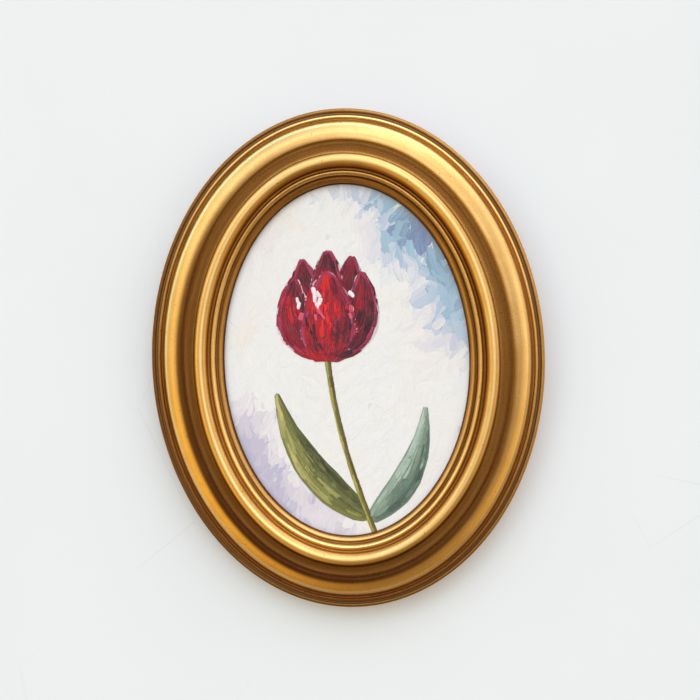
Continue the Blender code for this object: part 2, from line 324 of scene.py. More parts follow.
@dataclass(frozen=True)
class AntiqueGold:
    """Leaf toned with a brown glaze: thick in the quirks and hollow, rubbed off the crests.

    Reads the moulding's attributes: "section" runs from 0 at the sight edge to 1 at the outer
    edge, and "sweep" follows the ring round, so that streaks run along the moulding. The glaze
    is given as pairs: millimetres out from the sight edge, and how many coats lie there. Less
    than none is burnished leaf. On the lip's inner wall the glaze is a painted line of shade, and
    the painted shade zones darken the shaded side of the ring and lighten its lit side.
    """

    width: float = 36.0
    leaf: Colour = (0.94, 0.585, 0.205)
    pale_leaf: Colour = (0.97, 0.63, 0.235)
    bole: Colour = (0.36, 0.10, 0.03)
    glaze: Colour = (0.27, 0.18, 0.105)
    grime: Colour = (0.075, 0.042, 0.032)
    roughness: float = 0.27
    most_coats: float = 2.4
    burnish: float = 0.3
    wear: float = 0.8
    bare_wear: float = 0.35
    fade_before: float = 0.7
    fade_inside: float = 0.3
    fade_after: float = 1.5
    grimy: Point2 = (33.0, 34.0)
    grimy_fades: Point2 = (0.5, 0.4)
    # Painted shade and light round the ring: each band gets more glaze where it lies in shade and
    # less where the light falls on it.
    painted_shade_zones: tuple[PaintedShadeZone, ...] = (
        PaintedShadeZone(1.0, 8.2, 0.0, 0.26),
        PaintedShadeZone(3.4, 4.2, 0.18, -0.1),
        PaintedShadeZone(7.2, 8.9, 0.17, 0.02),
        PaintedShadeZone(13.8, 14.8, -0.1, -0.35),
        PaintedShadeZone(19.4, 22.2, -0.22, -0.62),
        PaintedShadeZone(28.2, 28.9, 0.15, -0.4),
        PaintedShadeZone(31.2, 32.1, -0.2, -0.65),
        PaintedShadeZone(34.7, 36.0, -0.35, -0.2),
    )
    # The first two pairs, on the lip's inner wall, are a painted line of shade where the lip meets
    # the painting; the rest is glaze.
    lip: tuple[Point2, ...] = (
        (0.0, 1.8), (0.5, 1.5), (0.85, 0.62), (1.5, 0.5),
        (2.0, 0.48), (2.5, 0.85), (2.9, 1.15), (3.4, 1.2),
    )
    bead: tuple[Point2, ...] = (
        (3.8, 0.85), (4.3, 0.3), (4.8, 0.12), (5.4, 0.14),
        (5.9, 0.27), (6.3, 0.45), (6.8, 0.65), (7.3, 1.05),
    )
    ridge: tuple[Point2, ...] = (
        (7.9, 0.88), (8.5, 0.4), (9.2, 0.45), (9.9, 0.22),
        (10.5, -0.05), (12.4, 0.07), (13.3, 0.28),
    )
    hollow: tuple[Point2, ...] = (
        (13.9, 0.66), (14.4, 0.94), (14.9, 0.94), (15.5, 1.03),
        (16.0, 1.15), (16.6, 1.19), (17.8, 1.12), (18.7, 1.2),
    )
    cushion: tuple[Point2, ...] = (
        (19.6, 1.5), (20.3, 1.48), (20.8, 1.3), (21.5, 1.12), (22.3, 0.78), (23.2, 0.32),
        (24.2, 0.19), (26.4, 0.18), (27.4, 0.04), (28.6, 0.0), (29.1, 0.12),
    )
    edge: tuple[Point2, ...] = (
        (29.6, 0.03), (30.3, 0.16), (30.9, 0.9), (31.2, 1.3), (31.5, 0.8), (31.9, 0.42),
        (32.3, 0.6), (32.8, 0.78), (33.4, 0.75), (33.9, 0.9), (34.3, 0.85), (34.7, 0.75),
        (35.3, 0.9), (36.0, 0.9),
    )

    def coats(self) -> list[Point2]:
        """The glaze's corners, for a curve.

        Returns:
            Shares of the width and of the range from burnished to thickest.
        """
        span = self.most_coats + self.burnish
        pairs = self.lip + self.bead + self.ridge + self.hollow + self.cushion + self.edge
        return [(place / self.width, (coats + self.burnish) / span) for place, coats in pairs]

    def band(
        self, section: Wire, start: float, end: float, fade_in: float, fade_out: float
    ) -> Wire:
        """A band along the moulding, with soft sides.

        Args:
            section: 0 at the sight edge to 1 at the outer edge.
            start: Where it is whole, in millimetres from the sight edge.
            end: Where it is no longer whole.
            fade_in: How far before the start it begins.
            fade_out: How far after the end it is gone.

        Returns:
            1 on the band and 0 off it.
        """
        rise = section.between((start - fade_in) / self.width, start / self.width)
        return rise * section.between((end + fade_out) / self.width, end / self.width)

    def painted_shade_coats(self, recipe: Recipe, section: Wire, sweep: Wire) -> Wire:
        """Painted shade and light: glaze added on the shaded side of the ring and taken off on the
        lit side.

        Args:
            recipe: The material in the making.
            section: 0 at the sight edge to 1 at the outer edge.
            sweep: The way round the ring.

        Returns:
            The coats, less than none where the painted light takes glaze off.
        """
        right, up = recipe.part(sweep, 0), recipe.part(sweep, 1)
        added: Any = 0.0
        for zone in self.painted_shade_zones:
            whole = zone.end - self.fade_inside
            fade = self.fade_inside + self.fade_after
            band = self.band(section, zone.start, whole, self.fade_before, fade)
            added = band * (right * zone.right + up * zone.top) + added
        return added

    def material(self) -> bpy.types.Material:
        """Make the material.

        Returns:
            The material.
        """
        recipe = Recipe("antique_gold")
        place = recipe.place()
        section = recipe.attribute("section")
        sweep = recipe.attribute("sweep", "Vector")
        streak = recipe.grain(recipe.stretched(sweep, (7, 7, 200)), 1.0, 4.0, 0.6)
        brushed = recipe.grain(recipe.stretched(sweep, (3, 3, 45)), 1.0, 3.0, 0.5)
        blot = recipe.grain(place, 70, 4.0, 0.6)
        fine = recipe.grain(place, 1900, 3.0, 0.65)
        wander = (streak - 0.5) * 0.012 + (blot - 0.5) * 0.016 + (brushed - 0.5) * 0.010
        inputs = {"Factor": 1.0, "Value": section + wander}
        curve = recipe.node("ShaderNodeFloatCurve", {"points": self.coats()}, inputs)
        coats = curve * (self.most_coats + self.burnish) - self.burnish
        # Painted shade and light: more glaze on the shaded side of the ring, less on the lit side.
        coats = coats + self.painted_shade_coats(recipe, section, sweep)
        worn = (brushed - 0.5) * 0.25 + (streak - 0.5) * 0.5 + (fine - 0.5) * 0.75
        laid = coats * (worn * self.wear + 1.0) + worn * self.bare_wear
        cover = (laid / self.most_coats).most(0.0).least(1.0)
        speck = recipe.cells(place, 420).between(0.16, 0.05)
        speck = speck * recipe.grain(place, 120, 2.0).between(0.52, 0.66)
        pinholes = recipe.cells(place, 900).between(0.2, 0.08)
        pinholes = pinholes * recipe.grain(place, 45, 3.0).between(0.48, 0.62)
        leaf = recipe.mix(blot.between(0.35, 0.65), self.leaf, self.pale_leaf)
        rub = fine.between(0.62, 0.8) * blot.between(0.45, 0.6) * 0.4
        rubbed = recipe.mix(rub, leaf, self.bole)
        inputs = {"Color": self.glaze, "Gamma": laid + speck * 1.3 + pinholes * 0.4}
        glaze = recipe.node("ShaderNodeGamma", None, inputs)
        toned = recipe.mix(1.0, rubbed, glaze, "MULTIPLY")
        dull = self.band(section, *self.grimy, *self.grimy_fades)
        colour = recipe.mix(dull * 0.4, toned, self.grime)
        low = recipe.bump(blot + brushed * 0.2, 0.05 * MM, 0.3)
        mid = recipe.bump(streak, 0.03 * MM, 0.4, low)
        normal = recipe.bump(fine * 0.8 - speck * 1.5, 0.012 * MM, 0.6, mid)
        recipe.set(
            Base_Color=colour,
            Metallic=1.0 - cover * 0.1 - dull * 0.5,
            Roughness=self.roughness + fine * 0.06 + cover * 0.12,
            Normal=normal,
        )
        return recipe.material


@dataclass(frozen=True)
class BareWood:
    """Pale glued-up wood: four lengths, each with its own grain, joined at the corners."""

    early: Colour = (0.55, 0.37, 0.20)
    late: Colour = (0.34, 0.19, 0.085)
    pore: Colour = (0.12, 0.06, 0.03)
    roughness: float = 0.62

    def material(self) -> bpy.types.Material:
        """Make the material.

        Returns:
            The material.
        """
        recipe = Recipe("bare_wood")
        place = recipe.place()
        sweep = recipe.attribute("sweep", "Vector")
        right = recipe.part(sweep, 0)
        side = (right * right).between(0.498, 0.502)
        upright = recipe.grain(recipe.stretched(place, (260, 260, 9)), 1.0, 4.0, 0.6)
        level = recipe.grain(recipe.stretched(place, (9, 260, 260)), 1.0, 4.0, 0.6)
        grain = level * (1 - side) + upright * side
        pores = recipe.grain(recipe.stretched(place, (2200, 2200, 120)), 1.0, 2.0)
        pores = pores.between(0.6, 0.75)
        joint = (right * right - 0.5).between(0.006, 0.0)
        joint = joint * (0.5 - right * right).between(0.006, 0.0)
        board = recipe.mix(grain.between(0.3, 0.7), self.early, self.late)
        colour = recipe.mix((pores * 0.35 + joint * 0.7).least(1.0), board, self.pore)
        normal = recipe.bump(grain + pores * 0.5, 0.06 * MM, 0.5)
        recipe.set(Base_Color=colour, Roughness=self.roughness, Normal=normal)
        return recipe.material


@dataclass(frozen=True)
class Canvas:
    """Primed canvas; the weave is fine and shows through thin paint."""

    pitch: float = 0.42 * MM
    primer: Colour = (0.74, 0.73, 0.70)
    thin_primer: Colour = (0.70, 0.685, 0.65)

    def weave(self, recipe: Recipe) -> Wire:
        """Height of the plain weave at the object's coordinates.

        Args:
            recipe: The material in the making.

        Returns:
            A height from 0 to about 1.
        """
        place = recipe.place()
        slub = recipe.grain(place, 400, 2.0) * 0.35 * MM
        across = recipe.part(place, 0) + slub
        upward = recipe.part(place, 2) + slub
        turn = math.pi / self.pitch
        warp = recipe.node("ShaderNodeMath", {"operation": "SINE"}, {0: across * turn})
        weft = recipe.node("ShaderNodeMath", {"operation": "SINE"}, {0: upward * turn})
        return (warp * weft) * 0.5 + 0.5

    def material(self) -> bpy.types.Material:
        """Make the material of the bare board.

        Returns:
            The material.
        """
        recipe = Recipe("primed_canvas")
        normal = recipe.bump(self.weave(recipe), 0.06 * MM, 0.8)
        patch = recipe.grain(recipe.place(), 60)
        colour = recipe.mix(patch.between(0.3, 0.7), self.primer, self.thin_primer)
        recipe.set(Base_Color=colour, Roughness=0.7, Normal=normal)
        return recipe.material


@dataclass(frozen=True)
class OilPaint:
    """Oil paint laid with a bristle brush.

    Reads the strokes' attributes: "paint" is the colour, and "bristle" runs across and along a
    stroke, so that the hairs' furrows follow it.
    """

    name: str
    oval: "Oval"
    roughness: float = 0.42
    furrow: float = 0.06 * MM
    shadow: Colour = (0.80, 0.78, 0.80)
    light: float = 0.05
    lip_shadow_tone: Colour = (0.30, 0.25, 0.205)
    crest_highlight: Colour = (0.93, 0.92, 0.90)

    def painted_lip_shadow(self, recipe: Recipe) -> Wire:
        """A painted shadow of the frame's lip along the painting's edge, deepest at the top left.

        Args:
            recipe: The material in the making.

        Returns:
            How deep the painted shadow is, from 0 to about 1.
        """
        place = recipe.place()
        right = recipe.part(place, 0) / self.oval.half_width
        up = (recipe.part(place, 2) - self.oval.centre_z) / self.oval.half_height
        reach = (right**2 + up**2) ** 0.5
        return reach.between(0.945, 1.015) ** 1.5 * (up * 0.3 - right * 0.16 + 0.4)

    def material(self) -> bpy.types.Material:
        """Make the material.

        Returns:
            The material.
        """
        recipe = Recipe(self.name)
        paint = recipe.attribute("paint", "Color")
        bristle = recipe.attribute("bristle", "Vector")
        hairs = recipe.grain(recipe.stretched(bristle, (3.2, 0.16, 1.0)), 1.0, 3.0, 0.6)
        broad = recipe.grain(recipe.stretched(bristle, (1.1, 0.08, 1.0)), 1.0, 2.0, 0.5)
        grit = recipe.grain(recipe.place(), 2200, 2.0)
        # Painted shade and highlight: the hairs' furrows get a darker copy of the paint, their
        # crests a lighter one.
        darker = recipe.mix(1.0, paint, self.shadow, "MULTIPLY")
        lighter = recipe.mix(self.light, paint, self.crest_highlight)
        streaked = recipe.mix(hairs.between(0.38, 0.66), darker, lighter)
        clean = recipe.mix(broad.between(0.3, 0.7) * 0.6, streaked, paint)
        # Painted shadow of the lip along the painting's edge, darkest at the top left.
        colour = recipe.mix(self.painted_lip_shadow(recipe), clean, self.lip_shadow_tone)
        thread = recipe.bump(Canvas().weave(recipe), 0.03 * MM, 0.5)
        relief = recipe.bump(hairs + broad * 0.5 + grit * 0.2, self.furrow, 0.8, thread)
        rough = self.roughness + grit * 0.12
        recipe.set(Base_Color=colour, Roughness=rough, Normal=relief, Specular_IOR_Level=0.3)
        return recipe.material


@dataclass(frozen=True)
class PulpBoard:
    """Matt grey-brown board with fibre flecks."""

    pale: Colour = (0.36, 0.31, 0.25)
    dark: Colour = (0.25, 0.21, 0.165)
    fibres: Colour = (0.47, 0.42, 0.35)
    flecks: Colour = (0.10, 0.085, 0.07)

    def material(self) -> bpy.types.Material:
        """Make the material.

        Returns:
            The material.
        """
        recipe = Recipe("pulp_board")
        place = recipe.place()
        cloud = recipe.grain(place, 35, 5.0, 0.6)
        fibre = recipe.grain(recipe.stretched(place, (700, 700, 160)), 1.0, 4.0, 0.7)
        fleck = recipe.cells(place, 260).between(0.13, 0.05)
        fleck = fleck * recipe.grain(place, 90).between(0.5, 0.6)
        board = recipe.mix(cloud.between(0.3, 0.7), self.pale, self.dark)
        speckled = recipe.mix(fibre.between(0.55, 0.8) * 0.35, board, self.fibres)
        colour = recipe.mix(fleck * 0.6, speckled, self.flecks)
        normal = recipe.bump(fibre + cloud * 0.4, 0.05 * MM, 0.6)
        recipe.set(Base_Color=colour, Roughness=0.92, Normal=normal)
        return recipe.material


class Metal(Enum):
    """The hardware's metals: colour, roughness and how much it has dulled."""

    BLUED_SPRING = ((0.20, 0.21, 0.24), 0.34, (0.10, 0.07, 0.06))
    BRASSED_STEEL = ((0.70, 0.50, 0.21), 0.30, (0.30, 0.20, 0.10))

    def material(self, name: str) -> bpy.types.Material:
        """Make the material, with rolling marks and stains.

        Args:
            name: The material's name.

        Returns:
            The material.
        """
        colour, roughness, stain = self.value
        recipe = Recipe(name)
        place = recipe.place()
        rolled = recipe.grain(recipe.stretched(place, (120, 4000, 4000)), 1.0, 2.0)
        cloud = recipe.grain(place, 450, 4.0, 0.65)
        dulled = recipe.mix(cloud.between(0.5, 0.72) * 0.7, colour, stain)
        normal = recipe.bump(rolled, 0.012 * MM, 0.5)
        shine = roughness + rolled * 0.12 + cloud.between(0.5, 0.72) * 0.2
        recipe.set(Base_Color=dulled, Metallic=1.0, Roughness=shine, Normal=normal)
        return recipe.material


@dataclass(frozen=True)
class Felt:
    """Dense brown felt with short loose fibres."""

    dark: Colour = (0.045, 0.034, 0.028)
    pale: Colour = (0.12, 0.095, 0.08)

    def material(self) -> bpy.types.Material:
        """Make the material.

        Returns:
            The material.
        """
        recipe = Recipe("felt")
        place = recipe.place()
        matted = recipe.grain(place, 900, 5.0, 0.75)
        fibre = recipe.grain(recipe.stretched(place, (3000, 3000, 900)), 1.0, 3.0, 0.7)
        colour = recipe.mix((matted * 0.5 + fibre * 0.5).between(0.35, 0.65), self.dark, self.pale)
        normal = recipe.bump(matted + fibre, 0.14 * MM, 0.9)
        recipe.set(Base_Color=colour, Roughness=0.95, Normal=normal)
        recipe.set(Sheen_Weight=0.35, Sheen_Roughness=0.6)
        return recipe.material


# --------------------------------------------------------------------------------------------
# Modelling helpers
# --------------------------------------------------------------------------------------------


class Bench:
    """Small moves on Blender's objects that several pieces need."""

    @staticmethod
    def clear_selection() -> None:
        """Leave edit mode and select nothing."""
        if bpy.context.object is not None and bpy.context.object.mode != "OBJECT":
            bpy.ops.object.mode_set(mode="OBJECT")
        bpy.ops.object.select_all(action="DESELECT")

    @staticmethod
    def pick(obj: bpy.types.Object) -> None:
        """Make an object the only selected and the active one.

        Args:
            obj: The object.
        """
        Bench.clear_selection()
        obj.select_set(True)
        bpy.context.view_layer.objects.active = obj

    @staticmethod
    def chain(name: str, points: Sequence[Point2], closed: bool = True) -> bpy.types.Object:
        """A chain of edges in the XZ plane, extruded from a single corner.

        Args:
            name: The object's name.
            points: Corners as (x, z), in metres.
            closed: Whether the last corner joins the first.

        Returns:
            The object, at the origin.
        """
        Bench.clear_selection()
        bpy.ops.mesh.primitive_plane_add(size=MM, location=(0, 0, 0))
        obj = bpy.context.object
        obj.name = obj.data.name = name
        bpy.ops.object.mode_set(mode="EDIT")
        bpy.ops.mesh.select_all(action="SELECT")
        bpy.ops.mesh.merge(type="CENTER")
        x, z = points[0]
        bpy.ops.transform.translate(value=(x, 0, z))
        for (x0, z0), (x1, z1) in zip(points, points[1:]):
            step = {"value": (x1 - x0, 0, z1 - z0)}
            bpy.ops.mesh.extrude_vertices_move(TRANSFORM_OT_translate=step)
        if closed:
            step = {"value": (points[0][0] - points[-1][0], 0, points[0][1] - points[-1][1])}
            bpy.ops.mesh.extrude_vertices_move(TRANSFORM_OT_translate=step)
            bpy.ops.mesh.select_all(action="SELECT")
            bpy.ops.mesh.remove_doubles(threshold=0.001 * MM)
        bpy.ops.object.mode_set(mode="OBJECT")
        return obj

    @staticmethod
    def turn(obj: bpy.types.Object, steps: int) -> None:
        """Turn a chain round the Z axis and keep the result.

        Args:
            obj: The chain.
            steps: How many steps the full turn has.
        """
        Bench.pick(obj)
        screw = obj.modifiers.new("turn", "SCREW")
        screw.steps = screw.render_steps = steps
        screw.use_merge_vertices = True
        screw.merge_threshold = 0.001 * MM
        bpy.ops.object.modifier_apply(modifier=screw.name)

    @staticmethod
    def seat(obj: bpy.types.Object, x: float, y: float, z: float) -> None:
        """Lay a piece that was turned round Z along Y, and set it in its place.

        Args:
            obj: The turned piece; what was up points at the wall.
            x: Where its axis is, to the right.
            y: Where its foot is, towards the wall.
            z: Where its axis is, upwards.
        """
        corners = Bench.coordinates(obj.data)
        placed = np.stack([corners[:, 0] + x, y + corners[:, 2], z - corners[:, 1]], axis=1)
        Bench.set_coordinates(obj.data, placed)
        Bench.outwards(obj)

    @staticmethod
    def plate(name: str, outline: Sequence[Point2], y: float) -> bpy.types.Object:
        """A filled outline that stands square to the Y axis.

        Args:
            name: The object's name.
            outline: Corners as (x, z), in metres.
            y: Where it stands.

        Returns:
            The object, one face, at the origin.
        """
        obj = Bench.chain(name, outline)
        bpy.ops.object.mode_set(mode="EDIT")
        bpy.ops.mesh.select_all(action="SELECT")
        bpy.ops.mesh.edge_face_add()
        bpy.ops.transform.translate(value=(0, y, 0))
        bpy.ops.object.mode_set(mode="OBJECT")
        return obj

    @staticmethod
    def slice_across(obj: bpy.types.Object, x: float) -> None:
        """Put an edge right across a plate, to bend it there.

        Args:
            obj: The plate.
            x: Where the edge lies.
        """
        Bench.pick(obj)
        bpy.ops.object.mode_set(mode="EDIT")
        bpy.ops.mesh.select_all(action="SELECT")
        bpy.ops.mesh.bisect(plane_co=(x, 0, 0), plane_no=(1, 0, 0))
        bpy.ops.object.mode_set(mode="OBJECT")

    @staticmethod
    def thicken(obj: bpy.types.Object, depth: float) -> None:
        """Give a plate its thickness, towards the wall, with all faces outwards.

        Args:
            obj: The plate.
            depth: Its thickness.
        """
        Bench.pick(obj)
        facing = obj.data.polygons[0].normal.y
        solidify = obj.modifiers.new("thickness", "SOLIDIFY")
        solidify.thickness = depth
        solidify.offset = 1.0 if facing > 0 else -1.0
        bpy.ops.object.modifier_apply(modifier=solidify.name)
        Bench.outwards(obj)

    @staticmethod
    def soften(obj: bpy.types.Object, width: float, segments: int) -> None:
        """Ease the sharp edges and shade the result smooth.

        Args:
            obj: The object.
            width: Width of the eased edge.
            segments: Faces across it.
        """
        Bench.pick(obj)
        bevel = obj.modifiers.new("eased edge", "BEVEL")
        bevel.width = width
        bevel.segments = segments
        bevel.limit_method = "ANGLE"
        bpy.ops.object.modifier_apply(modifier=bevel.name)
        bpy.ops.object.shade_smooth_by_angle(angle=math.radians(40))

    @staticmethod
    def outwards(obj: bpy.types.Object) -> None:
        """Merge doubles and turn every face outwards.

        Args:
            obj: The object.
        """
        Bench.pick(obj)
        bpy.ops.object.mode_set(mode="EDIT")
        bpy.ops.mesh.select_all(action="SELECT")
        bpy.ops.mesh.remove_doubles(threshold=0.001 * MM)
        bpy.ops.mesh.normals_make_consistent(inside=False)
        bpy.ops.object.mode_set(mode="OBJECT")

    @staticmethod
    def finish(obj: bpy.types.Object, slot: str, *nodes: str) -> bpy.types.Object:
        """Fix a piece to the body, in the place of its nodes.

        Args:
            obj: The piece.
            slot: The record's slot of its finish; not used.
            nodes: The nodes it stands for.

        Returns:
            The piece.
        """
        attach(obj, ROOT)
        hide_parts(*nodes)
        return obj

    @staticmethod
    def coordinates(mesh: bpy.types.Mesh) -> np.ndarray:
        """Read a mesh's corners.

        Args:
            mesh: The mesh.

        Returns:
            One row for each corner.
        """
        flat = np.empty(len(mesh.vertices) * 3)
        mesh.vertices.foreach_get("co", flat)
        return flat.reshape(-1, 3)

    @staticmethod
    def set_coordinates(mesh: bpy.types.Mesh, corners: np.ndarray) -> None:
        """Move the mesh's corners to the array's places."""
        mesh.vertices.foreach_set("co", corners.ravel())
        mesh.update()

    @staticmethod
    def attribute(mesh: bpy.types.Mesh, name: str, values: np.ndarray) -> None:
        """Store a number or a vector for each corner.

        Args:
            mesh: The mesh.
            name: The attribute's name.
            values: One row for each corner.
        """
        if values.ndim == 1:
            layer = mesh.attributes.new(name, "FLOAT", "POINT")
            layer.data.foreach_set("value", values.astype(np.float32))
        else:
            layer = mesh.attributes.new(name, "FLOAT_VECTOR", "POINT")
            layer.data.foreach_set("vector", values.astype(np.float32).ravel())

    @staticmethod
    def colour(mesh: bpy.types.Mesh, name: str, values: np.ndarray) -> None:
        """Store a colour for each corner.

        Args:
            mesh: The mesh.
            name: The attribute's name.
            values: Rows of red, green and blue in linear light.
        """
        layer = mesh.color_attributes.new(name, "FLOAT_COLOR", "POINT")
        full = np.concatenate([values, np.ones((len(values), 1))], axis=1)
        layer.data.foreach_set("color", full.astype(np.float32).ravel())


# --------------------------------------------------------------------------------------------
# The picture's layout, from the frame
# --------------------------------------------------------------------------------------------


@dataclass(frozen=True)
class Oval:
    """Where the frame's oval is, and its sizes, in metres."""

    centre_z: float
    back_y: float
    half_width: float
    half_height: float
    moulding_width: float
    lean: Point2 = (0.055, 0.045)
    lean_from: float = 7.5 * MM

    @classmethod
    def from_frame(cls, sight_width: float = 118.0 * MM) -> "Oval":
        """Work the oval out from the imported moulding's box.

        Args:
            sight_width: Width of the opening that shows the picture.

        Returns:
            The layout.
        """
        low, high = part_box("frame_moulding")
        width = (high.x - low.x - sight_width) / 2
        half_height = (high.z - low.z) / 2 - width
        return cls((low.z + high.z) / 2, high.y, sight_width / 2, half_height, width)

    @property
    def stretch(self) -> float:
        """How much longer the upright half axis is than the level one, on every circle."""
        return self.half_height - self.half_width

    def stand(self, turned: np.ndarray) -> np.ndarray:
        """Bring a piece turned round Z into the oval's place.

        The oval lathe adds the same length to the height of every circle. Then the axis is laid
        along Y, so that what was up faces the viewer. The higher parts lean a touch to the upper
        right, as hand turning leaves them.

        Args:
            turned: Corners of the turned piece.

        Returns:
            Corners in the frame's place.
        """
        radius = np.maximum(np.hypot(turned[:, 0], turned[:, 1]), 1e-9)
        risen = turned[:, 1] * (1 + self.stretch / radius)
        over = np.maximum(turned[:, 2] - self.lean_from, 0)
        across = turned[:, 0] + self.lean[0] * over
        upward = self.centre_z + risen + self.lean[1] * over
        return np.stack([across, self.back_y - turned[:, 2], upward], axis=1)


# --------------------------------------------------------------------------------------------
# The moulding
# --------------------------------------------------------------------------------------------


class Arc(NamedTuple):
    """An arc of the section, in millimetres; angles are in degrees from straight outwards."""

    across: float
    height: float
    radius: float
    start: float
    end: float
    steps: int

    def points(self) -> list[Point2]:
        """Work the arc out.

        Returns:
            Points along it, both ends with them.
        """
        angles = np.radians(np.linspace(self.start, self.end, self.steps + 1))
        return [
            (self.across + self.radius * math.cos(a), self.height + self.radius * math.sin(a))
            for a in angles
        ]


@dataclass
class Moulding:
    """The turned oval ring; its section is given in millimetres, out from the sight edge."""

    oval: Oval
    steps: int = 384
    rabbet_width: float = 5.0
    rabbet_depth: float = 10.0
    chamfer: float = 0.6
    arris: float = 0.3
    lip: Arc = Arc(3.3, 9.77, 2.95, 165, 106, 20)
    ridge: Arc = Arc(11.55, 13.0, 3.7, 150, 32, 38)
    cushion: Arc = Arc(20.8, 4.2, 11.0, 88, 39, 44)
    thin_bead: Arc = Arc(31.85, 9.95, 0.8, 175, 20, 12)
    edge_bead: Arc = Arc(34.95, 7.5, 1.05, 148, 0, 16)
    lip_quirk: tuple[Point2, ...] = ((2.75, 12.55), (3.3, 12.4), (3.75, 12.7))
    second_bead: tuple[Point2, ...] = ((4.3, 13.95), (5.1, 14.8), (5.8, 14.85), (6.4, 14.3))
    bead_quirk: tuple[Point2, ...] = ((6.9, 13.8), (7.7, 13.8))
    hollow: tuple[Point2, ...] = ((15.3, 14.75), (17.6, 14.6), (19.9, 14.8))
    cushion_quirk: tuple[Point2, ...] = ((29.9, 10.35), (30.65, 9.75))
    fillet: tuple[Point2, ...] = ((33.0, 8.6), (33.6, 7.95))

    def flow(self, knots: Sequence[Point2], steps: int) -> list[Point2]:
        """Points on a smooth curve through the knots, from the second to the last but one.

        Args:
            knots: Corners; the first and the last only give the direction of the ends.
            steps: Points for each stretch.

        Returns:
            The points, without the last knot but one itself.
        """
        points = []
        for before, here, there, after in zip(knots, knots[1:], knots[2:], knots[3:]):
            p0, p1, p2, p3 = (np.array(p) for p in (before, here, there, after))
            for k in range(steps):
                t = k / steps
                a = 2 * p1 + (p2 - p0) * t
                b = (2 * p0 - 5 * p1 + 4 * p2 - p3) * t**2 + (3 * p1 - p0 - 3 * p2 + p3) * t**3
                points.append(tuple((a + b) / 2))
        return points

    def front(self) -> list[Point2]:
        """The carved face, from the sight edge outwards.

        Returns:
            Its corners.
        """
        lip, ridge, cushion = self.lip.points(), self.ridge.points(), self.cushion.points()
        thin, edge = self.thin_bead.points(), self.edge_bead.points()
        crown = self.second_bead
        inner = self.flow([(1.9, 12.75), lip[-1], *self.lip_quirk, (4.1, 13.5)], 4)[1:]
        second = self.flow([*self.lip_quirk[1:], *crown, (6.8, 13.7)], 7)
        foot = self.flow([*crown[2:], *self.bead_quirk, ridge[0], (8.7, 15.3)], 5)
        cove = [(14.4, 15.4), ridge[-1], *self.hollow, cushion[0], (22.4, 15.1)]
        outer = [(29.1, 11.7), cushion[-1], *self.cushion_quirk, thin[0], (31.1, 10.4)]
        fillet = [(32.5, 10.4), thin[-1], *self.fillet, edge[0], (34.1, 8.3)]
        inside = lip + inner + second + foot + ridge + self.flow(cove, 6)[1:]
        outside = self.flow(outer, 4)[1:] + thin + self.flow(fillet, 4)[1:] + edge
        return inside + cushion + outside

    def section(self) -> list[Point2]:
        """The closed section: the front outwards, the side down, the back and the rabbet inwards.

        Returns:
            Its corners.
        """
        width, wall, depth = self.oval.moulding_width / MM, self.rabbet_width, self.rabbet_depth
        side = [(width, 5.0), (width, 2.5), (width, self.chamfer), (width - self.chamfer, 0.0)]
        back = [(width - 4, 0.0), (wall + 8, 0.0), (wall + self.arris, 0.0), (wall, self.arris)]
        rabbet = [(wall, depth), (self.arris, depth), (0.0, depth + self.arris)]
        return self.front() + side + back + rabbet

    def build(self, gold: bpy.types.Material, wood: bpy.types.Material) -> bpy.types.Object:
        """Turn the ring, make it oval, gild its face and side and leave its back bare.

        Args:
            gold: The finish of the face and side.
            wood: The finish of the back and the rabbet.

        Returns:
            The ring.
        """
        section = [((self.oval.half_width + x * MM), z * MM) for x, z in self.section()]
        ring = Bench.chain("gilded_moulding", section)
        Bench.turn(ring, self.steps)
        corners = Bench.coordinates(ring.data)
        radius = np.hypot(corners[:, 0], corners[:, 1])
        across = (radius - self.oval.half_width) / self.oval.moulding_width
        Bench.attribute(ring.data, "section", across)
        sweep = np.stack([corners[:, 0] / radius, corners[:, 1] / radius, across], axis=1)
        Bench.attribute(ring.data, "sweep", sweep)
        Bench.set_coordinates(ring.data, self.oval.stand(corners))
        ring.data.materials.append(gold)
        ring.data.materials.append(wood)
        low = self.oval.back_y - (self.rabbet_depth + 0.05) * MM
        inner = self.rabbet_width * 1.02 / (self.oval.moulding_width / MM)
        for face in ring.data.polygons:
            middle = sum(across[i] for i in face.vertices) / len(face.vertices)
            flat_back = face.normal.y > 0.9
            rabbet_wall = middle < inner and face.center.y > low
            face.material_index = int(flat_back or rabbet_wall)
        Bench.pick(ring)
        bpy.ops.object.shade_smooth_by_angle(angle=math.radians(38))
        return Bench.finish(ring, "antique_gold", "frame_moulding")


# --------------------------------------------------------------------------------------------
# The painting
# --------------------------------------------------------------------------------------------


